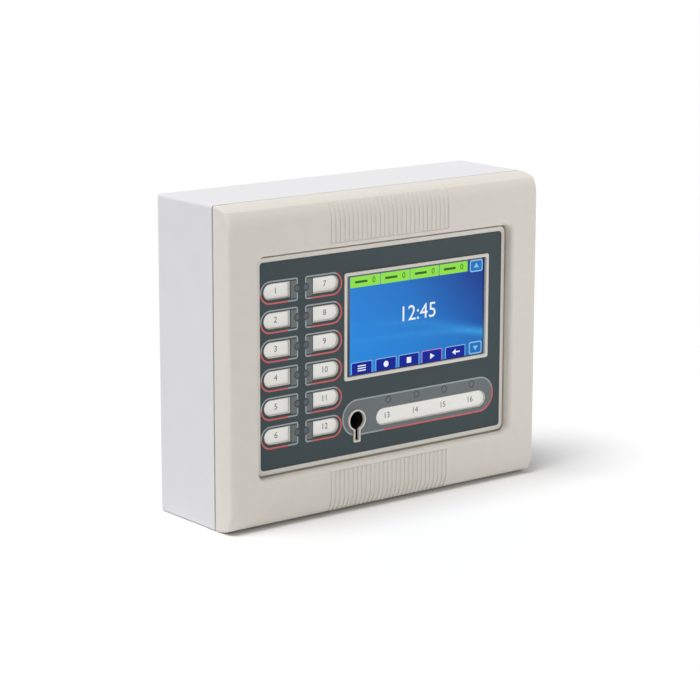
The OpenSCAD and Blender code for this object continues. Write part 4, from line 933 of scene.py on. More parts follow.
def lettering(name, words, depth, finish, slot):
    """Flat figures on the cover as one piece; words are text, x, z and size."""
    form = bmesh.new()
    for text, px, pz, tall in words:
        curve = bpy.data.curves.new(name, "FONT")
        curve.body = text
        curve.size = tall * MM
        curve.align_x = "CENTER"
        curve.align_y = "CENTER"
        curve.extrude = PRINT_T * MM / 2
        curve.resolution_u = 4
        holder = new_object(name + "_text", curve)
        mesh = bpy.data.meshes.new_from_object(holder.evaluated_get(bpy.context.evaluated_depsgraph_get()))
        turn = Matrix.Rotation(math.radians(90), 4, "X")
        mesh.transform(Matrix.Translation((px * MM, (FRONT + depth) * MM, pz * MM)) @ turn)
        form.from_mesh(mesh)
        bpy.data.objects.remove(holder)
    made = bpy.data.meshes.new(name)
    form.to_mesh(made)
    form.free()
    return place(new_object(name, made), finish, "cover", slot)


class PANEL_OT_labels(bpy.types.Operator):
    """Label cards with plain numbers behind clear windows"""
    bl_idname = "panel.labels"
    bl_label = "Labels"

    def execute(self, context):
        dress("label_cards", "card")
        dress("label_windows", "window")
        depth = front_of("label_cards") - PRINT_T / 2
        words = []
        for column, side in enumerate((-1, 1)):
            for row, z in enumerate(ROWS):
                number = len(ROWS) * column + row + 1
                words.append((str(number), COLUMN_MIDDLE + side * NUMBER_OFF, z, NUMBER_TALL))
        for i, (x, _) in enumerate(STATUS_LAMPS):
            words.append((str(2 * len(ROWS) + i + 1), x, STATUS_LABEL[1], NUMBER_TALL))
        lettering("label_numbers", words, depth, "ink", "label_card")
        return {"FINISHED"}


# Background of the screen: blues from left to right, and soft bands that fall away to the right
SCREEN_BLUES = [linear(code) for code in ("2A88E0", "2275C8", "183890")]
BAND_BLUE = linear("3FA4EE")
# Bands: start, fall and width, in shares of the screen's height
SCREEN_BANDS = ((0.52, 0.30, 0.05), (0.36, 0.12, 0.035))
RIDGE_GLOW = 0.35
VEIL_GLOW = 0.14
VEIL_FADE = 0.2
MOST_GLOW = 0.75
# How fast the blues change across and up the screen, and the height they are counted from
BLUE_ACROSS = 0.85
BLUE_UP = 0.4
BLUE_LEVEL = 0.45
# How far the layers of the picture stand in front of the glass or of each other
PICTURE_LIFT = 0.04
PICTURE_T = 0.02
EDGE_LIFT = 0.03
FACE_LIFT = 0.05
COUNT_LIFT = 0.06
SIGN_LIFTS = (0.09, 0.06)
# Layout of the screen, in millimetres from its lower left corner: plates are left, right, low, high, corner
TABS = 4
TAB_PITCH = 20.8
TAB = (0.3, 20.7, 47.9, 53.8, 0.3)
TAB_MARK = (3.5, 12.0, 50.2, 51.5, 0.2)
TAB_COUNT = (16.5, 50.85)
CLOCK_Z = 29
CLOCK_TALL = 12.0
BUTTON_STARTS = (1.0, 17.9, 34.1, 50.5, 67.5)
BUTTON = (0.0, 14.6, 0.0, 6.8, 0.8)
BUTTON_FACE = (0.4, 14.2, 0.0, 6.4, 0.6)
ACCENT_BUTTON = 3
ARROW_BUTTONS = [(84.8, 94.2, 47.0, 53.8, 1.2), (84.8, 94.2, 0.2, 7.3, 1.2)]
ARROW_FACES = [(85.5, 93.5, 47.7, 53.1, 0.8), (85.5, 93.5, 0.9, 6.6, 0.8)]
ARROWS = ([(87.6, 49.4), (91.4, 49.4), (89.5, 52.0)], [(87.6, 4.8), (89.5, 2.2), (91.4, 4.8)])
SIGNS = [[(x, z + 1.3 * k) for x, z in ((5.5, 1.6), (11.1, 1.6), (11.1, 2.2), (5.5, 2.2))] for k in range(3)]
SIGNS += [
    circle(25.2, 3.2, 1.7, 20),
    [(39.8, 1.6), (42.9, 1.6), (42.9, 4.8), (39.8, 4.8)],
    [(56.6, 1.5), (59.6, 3.2), (56.6, 4.9)],
    [(72.6, 3.2), (75.0, 4.9), (75.0, 3.6), (78.0, 3.6), (78.0, 2.8), (75.0, 2.8), (75.0, 1.5)],
]


def screen_colour(u, v):
    """Colour of the screen's background at u across and v up, both 0 to 1: darker to the upper right."""
    left, middle, right = SCREEN_BLUES
    t = min(max(BLUE_ACROSS * u + BLUE_UP * (v - BLUE_LEVEL), 0), 1)
    first, second, share = (left, middle, t * 2) if t < 0.5 else (middle, right, t * 2 - 1)
    base = [a + (b - a) * share for a, b in zip(first, second)]
    glow = 0.0
    for start, fall, width in SCREEN_BANDS:
        ridge = start - fall * u * u
        glow += RIDGE_GLOW * math.exp(-((v - ridge) / width) ** 2) * u
        if v < ridge:
            glow += VEIL_GLOW * math.exp((v - ridge) / VEIL_FADE)
    return [c + (p - c) * min(glow, MOST_GLOW) for c, p in zip(base, BAND_BLUE)]


class PANEL_OT_screen(bpy.types.Operator):
    """Touch screen with a plain picture: tabs, buttons, arrows and a clock"""
    bl_idname = "panel.screen"
    bl_label = "Screen"

    def execute(self, context):
        dress("touch_panel", "black glass")
        left, low = SCREEN_MIDDLE[0] - SCREEN_W / 2, SCREEN_MIDDLE[1] - SCREEN_H / 2
        near = front_of("touch_panel") - PICTURE_LIFT
        columns, rows = 96, 54
        picture = Shape()
        picture.grid([[(left + SCREEN_W * i / columns, near, low + SCREEN_H * k / rows)
                       for k in range(rows + 1)] for i in range(columns + 1)])
        mesh = picture.mesh("screen_picture")
        colours = mesh.color_attributes.new("Picture", "FLOAT_COLOR", "POINT")
        for i, vertex in enumerate(mesh.vertices):
            u = (vertex.co.x / MM - left) / SCREEN_W
            v = (vertex.co.z / MM - low) / SCREEN_H
            colours.data[i].color = (*screen_colour(u, v), 1)
        piece = new_object("screen_picture", mesh)
        solid = piece.modifiers.new("Thickness", "SOLIDIFY")
        solid.thickness = PICTURE_T * MM
        solid.offset = -1
        bake_modifiers(piece)
        place(piece, "picture", "cover", "touch_glass")

        def button(shape, plate, lift, along=0.0):
            """Thin plate with round corners, moved along the screen."""
            x0, x1, z0, z1, radius = plate
            x0, x1 = x0 + along, x1 + along
            path = rounded(left + (x0 + x1) / 2, low + (z0 + z1) / 2, x1 - x0, z1 - z0, radius, 3)
            shape.prism(path, near - lift, near - lift + PICTURE_T)

        def sign(shape, points):
            """Thin plate of any outline, in front of the buttons."""
            shape.prism([(left + x, low + z) for x, z in points], *(near - lift for lift in SIGN_LIFTS))

        tabs, faces, edges, arrows, marks, accent, light = (Shape() for _ in range(7))
        for i in range(TABS):
            button(tabs, TAB, EDGE_LIFT, TAB_PITCH * i)
            button(marks, TAB_MARK, FACE_LIFT, TAB_PITCH * i)
        for i, x in enumerate(BUTTON_STARTS):
            button(accent if i == ACCENT_BUTTON else edges, BUTTON, EDGE_LIFT, x)
            button(faces, BUTTON_FACE, FACE_LIFT, x)
        for plate, face in zip(ARROW_BUTTONS, ARROW_FACES):
            button(edges, plate, EDGE_LIFT)
            button(arrows, face, FACE_LIFT)
        for points in ARROWS:
            sign(edges, points)
        for points in SIGNS:
            sign(light, points)
        for name, shape, finish in (("screen_tabs", tabs, "lit green"),
                                    ("screen_tab_marks", marks, "lit dark"),
                                    ("screen_buttons", faces, "lit navy"),
                                    ("screen_button_edges", edges, "lit pale"),
                                    ("screen_button_accent", accent, "lit pink"),
                                    ("screen_arrows", arrows, "lit blue"),
                                    ("screen_signs", light, "lit white")):
            built(name, shape, finish, "cover", "touch_glass")
        clock = [("12:45", left + SCREEN_W / 2, low + CLOCK_Z, CLOCK_TALL)]
        lettering("screen_clock", clock, near - FACE_LIFT, "lit white", "touch_glass")
        x, z = left + TAB_COUNT[0], low + TAB_COUNT[1]
        counts = [("0", x + TAB_PITCH * i, z, NUMBER_TALL) for i in range(TABS)]
        lettering("screen_counts", counts, near - COUNT_LIFT, "lit dark", "touch_glass")
        return {"FINISHED"}


class PANEL_OT_key(bpy.types.Operator):
    """Key rotor, cam, retainer, micro switch and rod"""
    bl_idname = "panel.key"
    bl_label = "Key switch"

    def execute(self, context):
        copied("rotor", ["key_rotor"], "black plastic", "key", "black_plastic", edge=0.2)
        copied("cam", ["key_cam"], "white plastic", "key", "socket_white", edge=0.2)
        copied("retainer", ["key_retainer"], "black plastic", "cover", "black_plastic", edge=0.3)
        copied("micro_switch", ["key_switch"], "black plastic", "cover", "black_plastic", edge=0.3)
        copied("rod", ["switch_rod"], "red plastic", "rod", "button_red", edge=0.15)
        return {"FINISHED"}


class PANEL_OT_hinge(bpy.types.Operator):
    """Hinge brackets, pins and arms"""
    bl_idname = "panel.hinge"
    bl_label = "Hinge"

    def execute(self, context):
        copied("brackets", ["hinge_brackets"], "zinc", "enclosure", "zinc_steel", edge=0.25)
        copied("pins", ["hinge_pins"], "zinc", "enclosure", "zinc_steel", edge=0.2)
        copied("arms", ["hinge_arms"], "zinc", "cover", "zinc_steel", edge=0.3)
        copied("inserts", ["cover_inserts"], "brass", "cover", "brass_metal", edge=0.15)
        return {"FINISHED"}


# Screw in shares of its sizes: tip of the shank, rim and dome of the head, reach and half width of the cross
TIP_R = 0.7
TIP_L = 0.6
HEAD_RIM = 0.35
DOME_BULGE = 0.6
DOME_STEPS = [math.radians(18 * i) for i in range(1, 5)]
CROSS_REACH = 0.55
CROSS_HALF_W = 0.13
CROSS_OVER = 1.2
SCREW_SIDES = 20


def screw_mesh(name, head_r, head_h, shank_r, shank_l):
    """Pan head screw with a cross recess, its seat at the origin and its head towards the front."""
    # Depth behind the seat, radius
    profile = [(shank_l, 0), (shank_l, shank_r * TIP_R), (shank_l - shank_r * TIP_L, shank_r)]
    profile += [(0, shank_r), (0, head_r), (-head_h * HEAD_RIM, head_r)]
    for a in DOME_STEPS:
        rise = HEAD_RIM + (1 - HEAD_RIM) * math.sin(a)
        profile.append((-head_h * rise, head_r * math.cos(a) ** DOME_BULGE))
    screw, cross = Shape(), Shape()
    screw.turned(0, 0, [(-FRONT + d, r) for d, r in profile], SCREW_SIDES)
    piece = new_object(name, screw.mesh(name))
    long, wide = head_r * CROSS_REACH, head_r * CROSS_HALF_W
    path = [(long, wide), (wide, wide), (wide, long), (-wide, long), (-wide, wide), (-long, wide)]
    path += [(-x, -z) for x, z in path]
    cross.prism(path, -FRONT - head_h * CROSS_OVER, -FRONT - head_h * HEAD_RIM)
    cut_out(piece, cross.mesh("cross"))
    mesh = piece.data.copy()
    bpy.data.objects.remove(piece)
    return mesh


# Places of the screws, across and up
STANDOFFS = [(-71, -3), (93, -3), (11, -3), (-71, 53), (93, 53), (-18.5, 53)]
DISPLAY_FIXINGS = [(x, z) for x in (-78, 78) for z in (-49, 49)]
STRAP_FIXINGS = [(-100.2, -30), (100.2, -30)]


class PANEL_OT_screws(bpy.types.Operator):
    """All pan head screws, each with a cross recess"""
    bl_idname = "panel.screws"
    bl_label = "Screws"

    def execute(self, context):
        # Piece, node, places, whether the heads face the front, head and shank (radius, length), body
        groups = [
            ("board_fixings", "board_screws", STANDOFFS, True, (2.75, 2.0, 1.45, 6.6), "enclosure"),
            ("strap_fixings", "strap_screws", STRAP_FIXINGS, True, (2.1, 1.6, 1.1, 0.9), "enclosure"),
            ("carrier_fixings", "carrier_screws", CARRIER_FIXINGS, False, (2.6, 1.8, 1.25, 7.2), "cover"),
            ("arm_fixings", "arm_screws", ARM_FIXINGS, False, (2.6, 1.8, 1.25, 4.6), "cover"),
            ("display_fixings", "display_screws", DISPLAY_FIXINGS, False, (2.6, 1.8, 1.25, 3.6), "cover"),
        ]
        for name, node, spots, to_front, size, body in groups:
            mesh = screw_mesh(name + "_screw", *size)
            seat = front_of(node) + size[1]
            if not to_front:
                mesh.transform(Matrix.Rotation(math.pi, 4, "Z"))
                seat = back_of(node) - size[1]
            places = [(x, seat, z) for x, z in spots]
            repeated(name, mesh, places, "zinc", body, "zinc_steel", node)
        copied("cover_fixings", ["cover_screws"], "zinc", "cover", "zinc_steel", edge=0.3, segments=3)
        return {"FINISHED"}


# Solid nodes of the inside that only need soft edges and a finish: piece, node, finish, slot, edge
INSIDE = [
    ("main_circuit_board", "main_board", "solder mask", "circuit_board", 0.1),
    ("standoffs", "board_standoffs", "brass", "brass_metal", 0.2),
    ("terminals", "field_terminals", "green plastic", "terminal_green", 0.25),
    ("terminal_heads", "terminal_screws", "zinc", "zinc_steel", 0.15),
    ("mains_block", "mains_terminal", "grey plastic", "terminal_grey", 0.3),
    ("fuse_base", "fuse_holder", "black plastic", "black_plastic", 0.2),
    ("chips", "board_chips", "chip epoxy", "black_plastic", 0.15),
    ("cell_holder", "clock_cell_holder", "black plastic", "black_plastic", 0.3),
    ("cell", "clock_cell", "zinc", "zinc_steel", 0.3),
    ("option_circuit_board", "option_card", "solder mask", "circuit_board", 0.1),
    ("option_sockets", "card_sockets", "black plastic", "black_plastic", 0.2),
    ("ribbon_socket", "ribbon_header", "black plastic", "black_plastic", 0.3),
    ("lead_socket", "battery_socket", "white plastic", "socket_white", 0.3),
    ("reset_body", "reset_switch", "black plastic", "black_plastic", 0.3),
    ("tabs", "battery_tabs", "zinc", "zinc_steel", 0.1),
    ("shelf", "battery_shelf", "powder coat", "powder_coat", 0.3),
    ("strap", "battery_strap", "powder coat", "powder_coat", 0.3),
    ("earth_bolt", "earth_stud", "brass", "brass_metal", 0.3),
    ("earth_hex_nuts", "earth_nuts", "brass", "brass_metal", 0.3),
]
DISPLAY_SIDE = [
    ("lcd", "display_module", "lcd frame", "display_metal", 0.2),
    ("display_circuit_board", "display_board", "solder mask", "circuit_board", 0.1),
    ("display_ics", "display_chips", "chip epoxy", "black_plastic", 0.15),
    ("display_socket", "display_header", "black plastic", "black_plastic", 0.3),
    ("buzzer", "sounder", "black plastic", "black_plastic", 0.6),
]


class PANEL_OT_inside(bpy.types.Operator):
    """Boards, terminals, sockets and the other plain solids inside"""
    bl_idname = "panel.inside"
    bl_label = "Inside"

    def execute(self, context):
        for body, pieces in (("enclosure", INSIDE), ("cover", DISPLAY_SIDE)):
            for name, node, finish, slot, edge in pieces:
                copied(name, [node], finish, body, slot, edge=edge)
        copied("reset_cap", ["reset_button"], "red plastic", "reset", "button_red", edge=0.3)
        return {"FINISHED"}


# Small parts in rows: first x, z, number
PART_PITCH = 2.6
MAIN_PARTS = [(3.5, 17.8, 4), (-9, 13.4, 2), (-61.5, 22, 3), (-61.5, 28, 3), (-61.5, 34, 3)]
MAIN_PARTS += [(91, z, 2) for z in (8, 14, 20, 26)]
CARD_PARTS = [(-31, -1.5, 4), (-19.5, 6, 2), (-54.5, 4, 2)]
DISPLAY_PARTS = [(-6.5, 35, 6), (-6.5, 12.5, 6), (20, 39.5, 5)]
DISPLAY_PARTS += [(x, z, 2) for x in (60.5, 35) for z in (3, 9)]
DISPLAY_PARTS += [(14.7 + 11 * i, -4, 2) for i in range(5)]
# Grid that legs, joints and tracks keep to
BOARD_GRID = 1.27
# Parallel tracks: start and end across, lowest track, number, where they step and by how much
TRACK_W = 0.4
TRACK_STAGGER = 0.41
MAIN_TRACKS = [(-64, -53, 26, 8, -61, 3), (17, 40, 2.3, 10, 19, 2), (-14, 1, 2.3, 10, -8, 0)]
DISPLAY_TRACKS = [(-64, -8, 20, 10, -40, -1.7), (-64, 12, 8.6, 7, -46, -24.4), (8, 18, 18.3, 10, 10.5, 4)]
DISPLAY_TRACKS += [(34, 74, 24.2, 6, 52, 8), (58, 74, 2.3, 6, 63, 9)]
DISPLAY_TRACKS += [(20 + 11 * i, 23 + 11 * i, -15.8, 7, 21 + 11 * i, 0) for i in range(4)]
MAIN_OUTLINED = ["relays", "supply_module", "fuse_holder", "ribbon_header", "battery_socket", "reset_switch"]
# How far each leg side turns about the front-to-back axis: axis it points along, side
LEG_TURNS = {(0, 1): 0.0, (0, -1): math.pi, (2, 1): -math.pi / 2, (2, -1): math.pi / 2}
# Chips as wide as this have legs on four sides
FOUR_SIDED = 9.0
# Bent leg: out from the chip and up from the board; the dot at the first leg: in from the corner, radius
LEG_PATH = [(-0.3, 0.75), (0.35, 0.75), (0.55, 0.08), (1.1, 0.08)]
LEG_T = 0.16
LEG_HALF_W = 0.2
DOT_OFF = 1.2
DOT_R = 0.4
# Small part: half sizes of its core, half width, middle and half length of its ends, height
CORE_HALF = (0.6, 0.7)
END_HALF_W = 0.63
END_MIDDLE = 0.85
END_HALF_L = 0.2
PART_H = 0.5
# Soldered joint: height, radius
JOINT = [(-0.2, 0.8), (0.0, 0.8), (0.25, 0.5), (0.5, 0.2)]
# Board outlines: clear of a part, clear of a chip's legs; solids this near a board face stand on it
PART_MARGIN = 0.7
CHIP_MARGIN = 1.6
OUTLINE_W = 0.25
OUTLINE_R = 0.4
SAME_LEVEL = 0.1


class PANEL_OT_boards(bpy.types.Operator):
    """Chip legs, small parts, tracks and outlines on the boards"""
    bl_idname = "panel.boards"
    bl_label = "Board details"

    def execute(self, context):
        boards = [
            ("main", "main_board", "board_chips", True, "enclosure", MAIN_PARTS, MAIN_TRACKS, MAIN_OUTLINED),
            ("card", "option_card", "board_chips", True, "enclosure", CARD_PARTS, [], []),
            ("display", "display_board", "display_chips", False, "cover", DISPLAY_PARTS, DISPLAY_TRACKS,
             ["display_header"]),
        ]
        for name, board, node, to_front, body, parts, tracks, outlined in boards:
            level = front_of(board) if to_front else back_of(board)
            chips = [box for box in boxes_of(node) if abs(box[1 if to_front else 0][1] - level) < SAME_LEVEL]
            outlines = [(box, PART_MARGIN) for part in outlined for box in boxes_of(part)]
            outlines += [(box, CHIP_MARGIN) for box in chips]
            self.legs(name, chips, level, to_front, body)
            self.parts(name, parts, level, to_front, body)
            self.lines(name, tracks, outlines, level, body)
        joints = Shape()
        joints.turned(0, 0, [(-FRONT + h, r) for h, r in JOINT], 10)
        spots = [(COLUMN_MIDDLE + side * LAMP_OFF, z) for z in ROWS for side in (-1, 1)] + STATUS_LAMPS[1:3]
        places = [(x + s * BOARD_GRID, back_of("display_board"), z) for x, z in spots for s in (-1, 1)]
        repeated("lamp_joints", joints.mesh("joint"), places, "tin", "cover", "zinc_steel")
        return {"FINISHED"}

    def legs(self, name, chips, level, to_front, body):
        """Bent legs on two sides of a small chip and four of a large one, and a dot at its first leg."""
        leg = Shape()
        leg.stroke(LEG_PATH, LEG_T, -FRONT - LEG_HALF_W, -FRONT + LEG_HALF_W)
        mesh = leg.mesh("leg")
        mesh.transform(Matrix.Rotation(math.radians(90 if to_front else -90), 4, "X"))
        places, turns, dots = [], [], []
        for low, high in chips:
            for axis, along in ((0, 2), (2, 0)):
                if axis == 2 and high[0] - low[0] < FOUR_SIDED:
                    continue
                count = int((high[along] - low[along] - 1) / BOARD_GRID)
                for side in (-1, 1):
                    for i in range(count):
                        spot = [0, level, 0]
                        spot[axis] = (low if side < 0 else high)[axis]
                        spot[along] = halfway(low, high)[along] + (i - (count - 1) / 2) * BOARD_GRID
                        places.append(spot)
                        turns.append(LEG_TURNS[axis, side])
            dots.append((low[0] + DOT_OFF, low[1] if to_front else high[1], high[2] - DOT_OFF))
        repeated(name + "_legs", mesh, places, "tin", body, "zinc_steel", turns=turns)
        dot = Shape()
        dot.turned(0, 0, [(-FRONT - PRINT_T, DOT_R), (-FRONT + PRINT_T, DOT_R)], 12)
        repeated(name + "_dots", dot.mesh("dot"), dots, "silkscreen", body, "circuit_board")

    def parts(self, name, rows, level, to_front, body):
        """Small dark parts with tinned ends."""
        height = -PART_H if to_front else PART_H
        core, ends = Shape(), Shape()
        near, far = sorted((-FRONT, -FRONT + height))
        core.block((-CORE_HALF[0], near, -CORE_HALF[1]), (CORE_HALF[0], far, CORE_HALF[1]))
        for middle in (-END_MIDDLE, END_MIDDLE):
            ends.block((-END_HALF_W, near, middle - END_HALF_L), (END_HALF_W, far, middle + END_HALF_L))
        places = [(x + PART_PITCH * i, level, z) for x, z, count in rows for i in range(count)]
        repeated(name + "_parts", core.mesh("part"), places, "chip epoxy", body, "black_plastic")
        repeated(name + "_part_ends", ends.mesh("ends"), places, "tin", body, "zinc_steel")

    def lines(self, name, tracks, outlines, level, body):
        """Tracks under the solder mask and white outlines round the parts."""
        lines, frames = Shape(), Shape()
        near, far = level - PRINT_T, level + PRINT_T
        for start, end, low, count, knee, rise in tracks:
            for i in range(count):
                z = low + BOARD_GRID * i
                bend = knee - math.copysign(TRACK_STAGGER * BOARD_GRID * i, rise)
                path = [(start, z), (bend, z), (bend + abs(rise), z + rise), (end, z + rise)]
                lines.stroke(path if rise else [path[0], path[-1]], TRACK_W, near, far)
        for (low, high), margin in outlines:
            x, _, z = halfway(low, high)
            width, height = high[0] - low[0] + 2 * margin, high[2] - low[2] + 2 * margin
            frames.stroke(rounded(x, z, width, height, OUTLINE_R, 2), OUTLINE_W, near, far, closed=True)
        if tracks:
            built(name + "_tracks", lines, "track", body, "circuit_board")
        built(name + "_outlines", frames, "silkscreen", body, "circuit_board")


# Cases as steps of (depth, inset), from the front and from the back of their solid
CAPACITOR_RIM = [(0.8, 0), (0.35, 0.15), (0.15, 0.6)]
CAPACITOR_BEAD = [(0, 0.3), (0.8, 0), (1.6, 0), (2.0, 0.3), (2.6, 0.3), (3.0, 0)]
CAPACITOR_TOP = [(0.3, 0.7), (0.1, 0.9)]
# Stripe down a capacitor: angles, above and below its skin, from the top and from the foot
STRIPE_TURN = (200, 245)
STRIPE_OUT = 0.03
STRIPE_IN = 0.1
STRIPE_TOP = 1
STRIPE_FOOT = 3.4
# Dark cross on a capacitor's top, painted shade of its scored vent: short of its radius, width, depths
SCORE_SHORT = 1.8
SCORE_W = 0.3
SCORE_DEPTHS = (0.06, 0.2)
# Relays, with a printed field: width, height, corner
RELAY_FIELD = (13, 7, 0.5)
RELAY_FRONT = [(0, 1.2), (0.25, 0.7), (0.8, 0.45)]
RELAY_FOOT = [(3.2, 0.25), (3, 0), (0, 0)]
SUPPLY_FRONT = [(1.2, 0.8), (1.5, 0.3), (2, 0)]
# Ribs on the supply module: steps, half width, set in at both ends, number, pitch
RIB_STEPS = [(0, 0.3), (0.4, 0.05), (1.4, 0)]
RIB_HALF_W = 0.7
RIB_SET_IN = 2
SUPPLY_RIBS = 10
SUPPLY_RIB_PITCH = 5.2
# Fuse: a cap's profile from its end, where the glass starts, and the wire
FUSE_CAP = [(0, 0.4), (0.35, 0), (5, 0), (5.2, 0.2)]
FUSE_CAP_L = 5
GLASS_INSET = 0.2
FUSE_WIRE_R = 0.2


class PANEL_OT_power(bpy.types.Operator):
    """Supply module, relays, capacitors and the mains fuse"""
    bl_idname = "panel.power"
    bl_label = "Power parts"

    def execute(self, context):
        self.capacitors()
        self.relays()
        self.supply()
        self.fuse()
        return {"FINISHED"}

    def capacitors(self):
        """Sleeves with a bead, tops with a dark cross painted as the shade of their scored vent, and a stripe
        down one side.
        """
        sleeves, tops, stripes, score_shades = Shape(), Shape(), Shape(), Shape()
        for low, high in boxes_of("capacitors"):
            x, _, z = halfway(low, high)
            front, back, r = low[1], high[1], (high[0] - low[0]) / 2
            profile = [(back - d, r - inset) for d, inset in CAPACITOR_BEAD]
            profile += [(front + d, r - inset) for d, inset in CAPACITOR_RIM]
            sleeves.turned(x, z, profile, 32)
            tops.turned(x, z, [(front + d, r - inset) for d, inset in CAPACITOR_TOP], 32)
            first, last = STRIPE_TURN
            sector = arc((x, z), r + STRIPE_OUT, first, last, 8) + arc((x, z), r - STRIPE_IN, last, first, 8)
            stripes.prism(sector, front + STRIPE_TOP, back - STRIPE_FOOT)
            # Painted shade: dark strips for the scored cross, standing a little proud of the top
            half = r - SCORE_SHORT
            for path in ([(x - half, z), (x + half, z)], [(x, z - half), (x, z + half)]):
                score_shades.stroke(path, SCORE_W, *(front + depth for depth in SCORE_DEPTHS))
        for name, shape, finish, slot in (("capacitor_sleeves", sleeves, "capacitor sleeve", "relay_blue"),
                                          ("capacitor_tops", tops, "tin", "zinc_steel"),
                                          ("capacitor_stripes", stripes, "silkscreen", "relay_blue"),
                                          ("capacitor_scores", score_shades, "chip epoxy", "relay_blue")):
            built(name, shape, finish, "enclosure", slot, "capacitors")

    def relays(self):
        """Relay cases with a printed field."""
        cases, fields = Shape(), Shape()
        for low, high in boxes_of("relays"):
            front, back = low[1], high[1]
            steps = [(front + d, inset) for d, inset in RELAY_FRONT]
            steps += [(back - d, inset) for d, inset in RELAY_FOOT]
            cases.case(low, high, steps)
            x, _, z = halfway(low, high)
            fields.prism(rounded(x, z, *RELAY_FIELD, 2), front - PRINT_T, front + PRINT_T)
        built("relay_cases", cases, "relay plastic", "enclosure", "relay_blue", "relays")
        built("relay_fields", fields, "silkscreen", "enclosure", "relay_blue", "relays")

    def supply(self):
        """Supply module with its row of ribs."""
        low, high = boxes_of("supply_module")[0]
        front, back = low[1], high[1]
        case, rib = Shape(), Shape()
        case.case(low, high, [(front + d, inset) for d, inset in SUPPLY_FRONT] + [(back, 0)])
        built("supply", case, "black plastic", "enclosure", "black_plastic", "supply_module")
        half = (high[2] - low[2]) / 2 - RIB_SET_IN
        steps = [(-FRONT + d, inset) for d, inset in RIB_STEPS]
        rib.case((-RIB_HALF_W, 0, -half), (RIB_HALF_W, 0, half), steps, RIB_HALF_W / 2)
        x, _, z = halfway(low, high)
        repeated("supply_ribs", rib.mesh("rib"), [(x, front, z)], "black plastic", "enclosure",
                 "black_plastic", "supply_module", count=SUPPLY_RIBS, pitch=SUPPLY_RIB_PITCH)

    def fuse(self):
        """Glass fuse with plated caps and its wire."""
        low, high = boxes_of("mains_fuse")[0]
        _, d, z = halfway(low, high)
        r = (high[2] - low[2]) / 2
        caps, tube, wire = Shape(), Shape(), Shape()
        caps.lying(d, z, [(low[0] + x, r - inset) for x, inset in FUSE_CAP])
        caps.lying(d, z, [(high[0] - x, r - inset) for x, inset in FUSE_CAP])
        left, right = low[0] + FUSE_CAP_L, high[0] - FUSE_CAP_L
        tube.lying(d, z, [(left, r - GLASS_INSET), (right, r - GLASS_INSET)])
        wire.lying(d, z, [(left, FUSE_WIRE_R), (right, FUSE_WIRE_R)], 8)
        built("fuse_caps", caps, "tin", "enclosure", "zinc_steel", "mains_fuse")
        built("fuse_tube", tube, "fuse glass", "enclosure", "fuse_glass", "mains_fuse")
        built("fuse_wire", wire, "tin", "enclosure", "zinc_steel", "mains_fuse")


# Batteries: soft edge, height of the lid, its seam as (height, inset), and the raised frame on the front
BATTERY_EDGE = 0.8
LID_H = 7
LID_SEAM = [(-0.5, 0), (-0.3, 0.5), (0.1, 0.5), (0.3, 0)]
FRAME_RELIEF = 0.4
FRAME_SINK = 0.2
FRAME_W = 1.2
FRAME_LESS = (12, 8)
FRAME_CORNER_R = 2
# Tab sleeve: half sizes, and steps of (height, inset)
SLEEVE_HALF = (2.9, 0.9)
SLEEVE_STEPS = [(-1.4, 0.2), (-1.2, 0), (3.4, 0), (4.2, 0.3)]
SLEEVE_CORNER_R = 0.5


class PANEL_OT_batteries(bpy.types.Operator):
    """Standby batteries with their lids, tab sleeves and leads"""
    bl_idname = "panel.batteries"
    bl_label = "Batteries"

    def execute(self, context):
        for side in ("left", "right"):
            node = "standby_battery_" + side
            low, high = boxes_of(node)[0]
            lid = high[2] - LID_H
            steps = [(low[2], BATTERY_EDGE), (low[2] + BATTERY_EDGE, 0)]
            steps += [(lid + z, inset) for z, inset in LID_SEAM]
            steps += [(high[2] - BATTERY_EDGE, 0), (high[2], BATTERY_EDGE)]
            case = Shape()
            case.stack((low[0], low[1] + FRAME_RELIEF, low[2]), high, steps)
            x, z = (low[0] + high[0]) / 2, (low[2] + lid) / 2
            wide, tall = high[0] - low[0] - FRAME_LESS[0], lid - low[2] - FRAME_LESS[1]
            outline = rounded(x, z, wide, tall, FRAME_CORNER_R, 4)
            case.stroke(outline, FRAME_W, low[1], low[1] + FRAME_RELIEF + FRAME_SINK, closed=True)
            built("battery_" + side, case, "battery case", "enclosure", "battery_case", node)
        sleeve = Shape()
        half_w, half_t = SLEEVE_HALF
        low, high = (-half_w, -FRONT - half_t, 0), (half_w, -FRONT + half_t, 0)
        sleeve.stack(low, high, SLEEVE_STEPS, SLEEVE_CORNER_R)
        spots = [halfway(*box) for box in boxes_of("battery_tabs")]
        mesh = sleeve.mesh("sleeve")
        for name, finish, chosen, slot in (("sleeves_red", "red lead", spots[::2], "lead_red"),
                                           ("sleeves_black", "black lead", spots[1::2], "black_plastic")):
            repeated(name, mesh.copy(), chosen, finish, "enclosure", slot)
        finishes = (("lead_positive", "red lead", "lead_red"), ("lead_link", "black lead", "black_plastic"),
                    ("lead_negative", "black lead", "black_plastic"))
        for mesh, (name, finish, slot) in zip(solids_of("battery_leads"), finishes):
            place(new_object(name, mesh), finish, "enclosure", slot, "battery_leads", angle=ROUND_ANGLE)
        return {"FINISHED"}


# Ribbon cable: conductors, their pitch and thickness, and the share of it left between two of them
WIRES = 20
WIRE_PITCH = 1.27
WIRE_T = 0.9
WIRE_VALLEY = 0.6
# Its route: radii of the bends and the loop, half the solid's thickness, the longest step along it
BEND_R = 5.0
LOOP_R = 4.5
SOLID_HALF = 0.5
RIBBON_STEP = 0.8
# Clamps at its ends: past the last conductor, half their depth, from the ribbon to a bar, half a bar
CLAMP_OVER = 1.6
CLAMP_HALF_D = 1
BAR_OFF = 1.75
BAR_HALF_W = 1.2


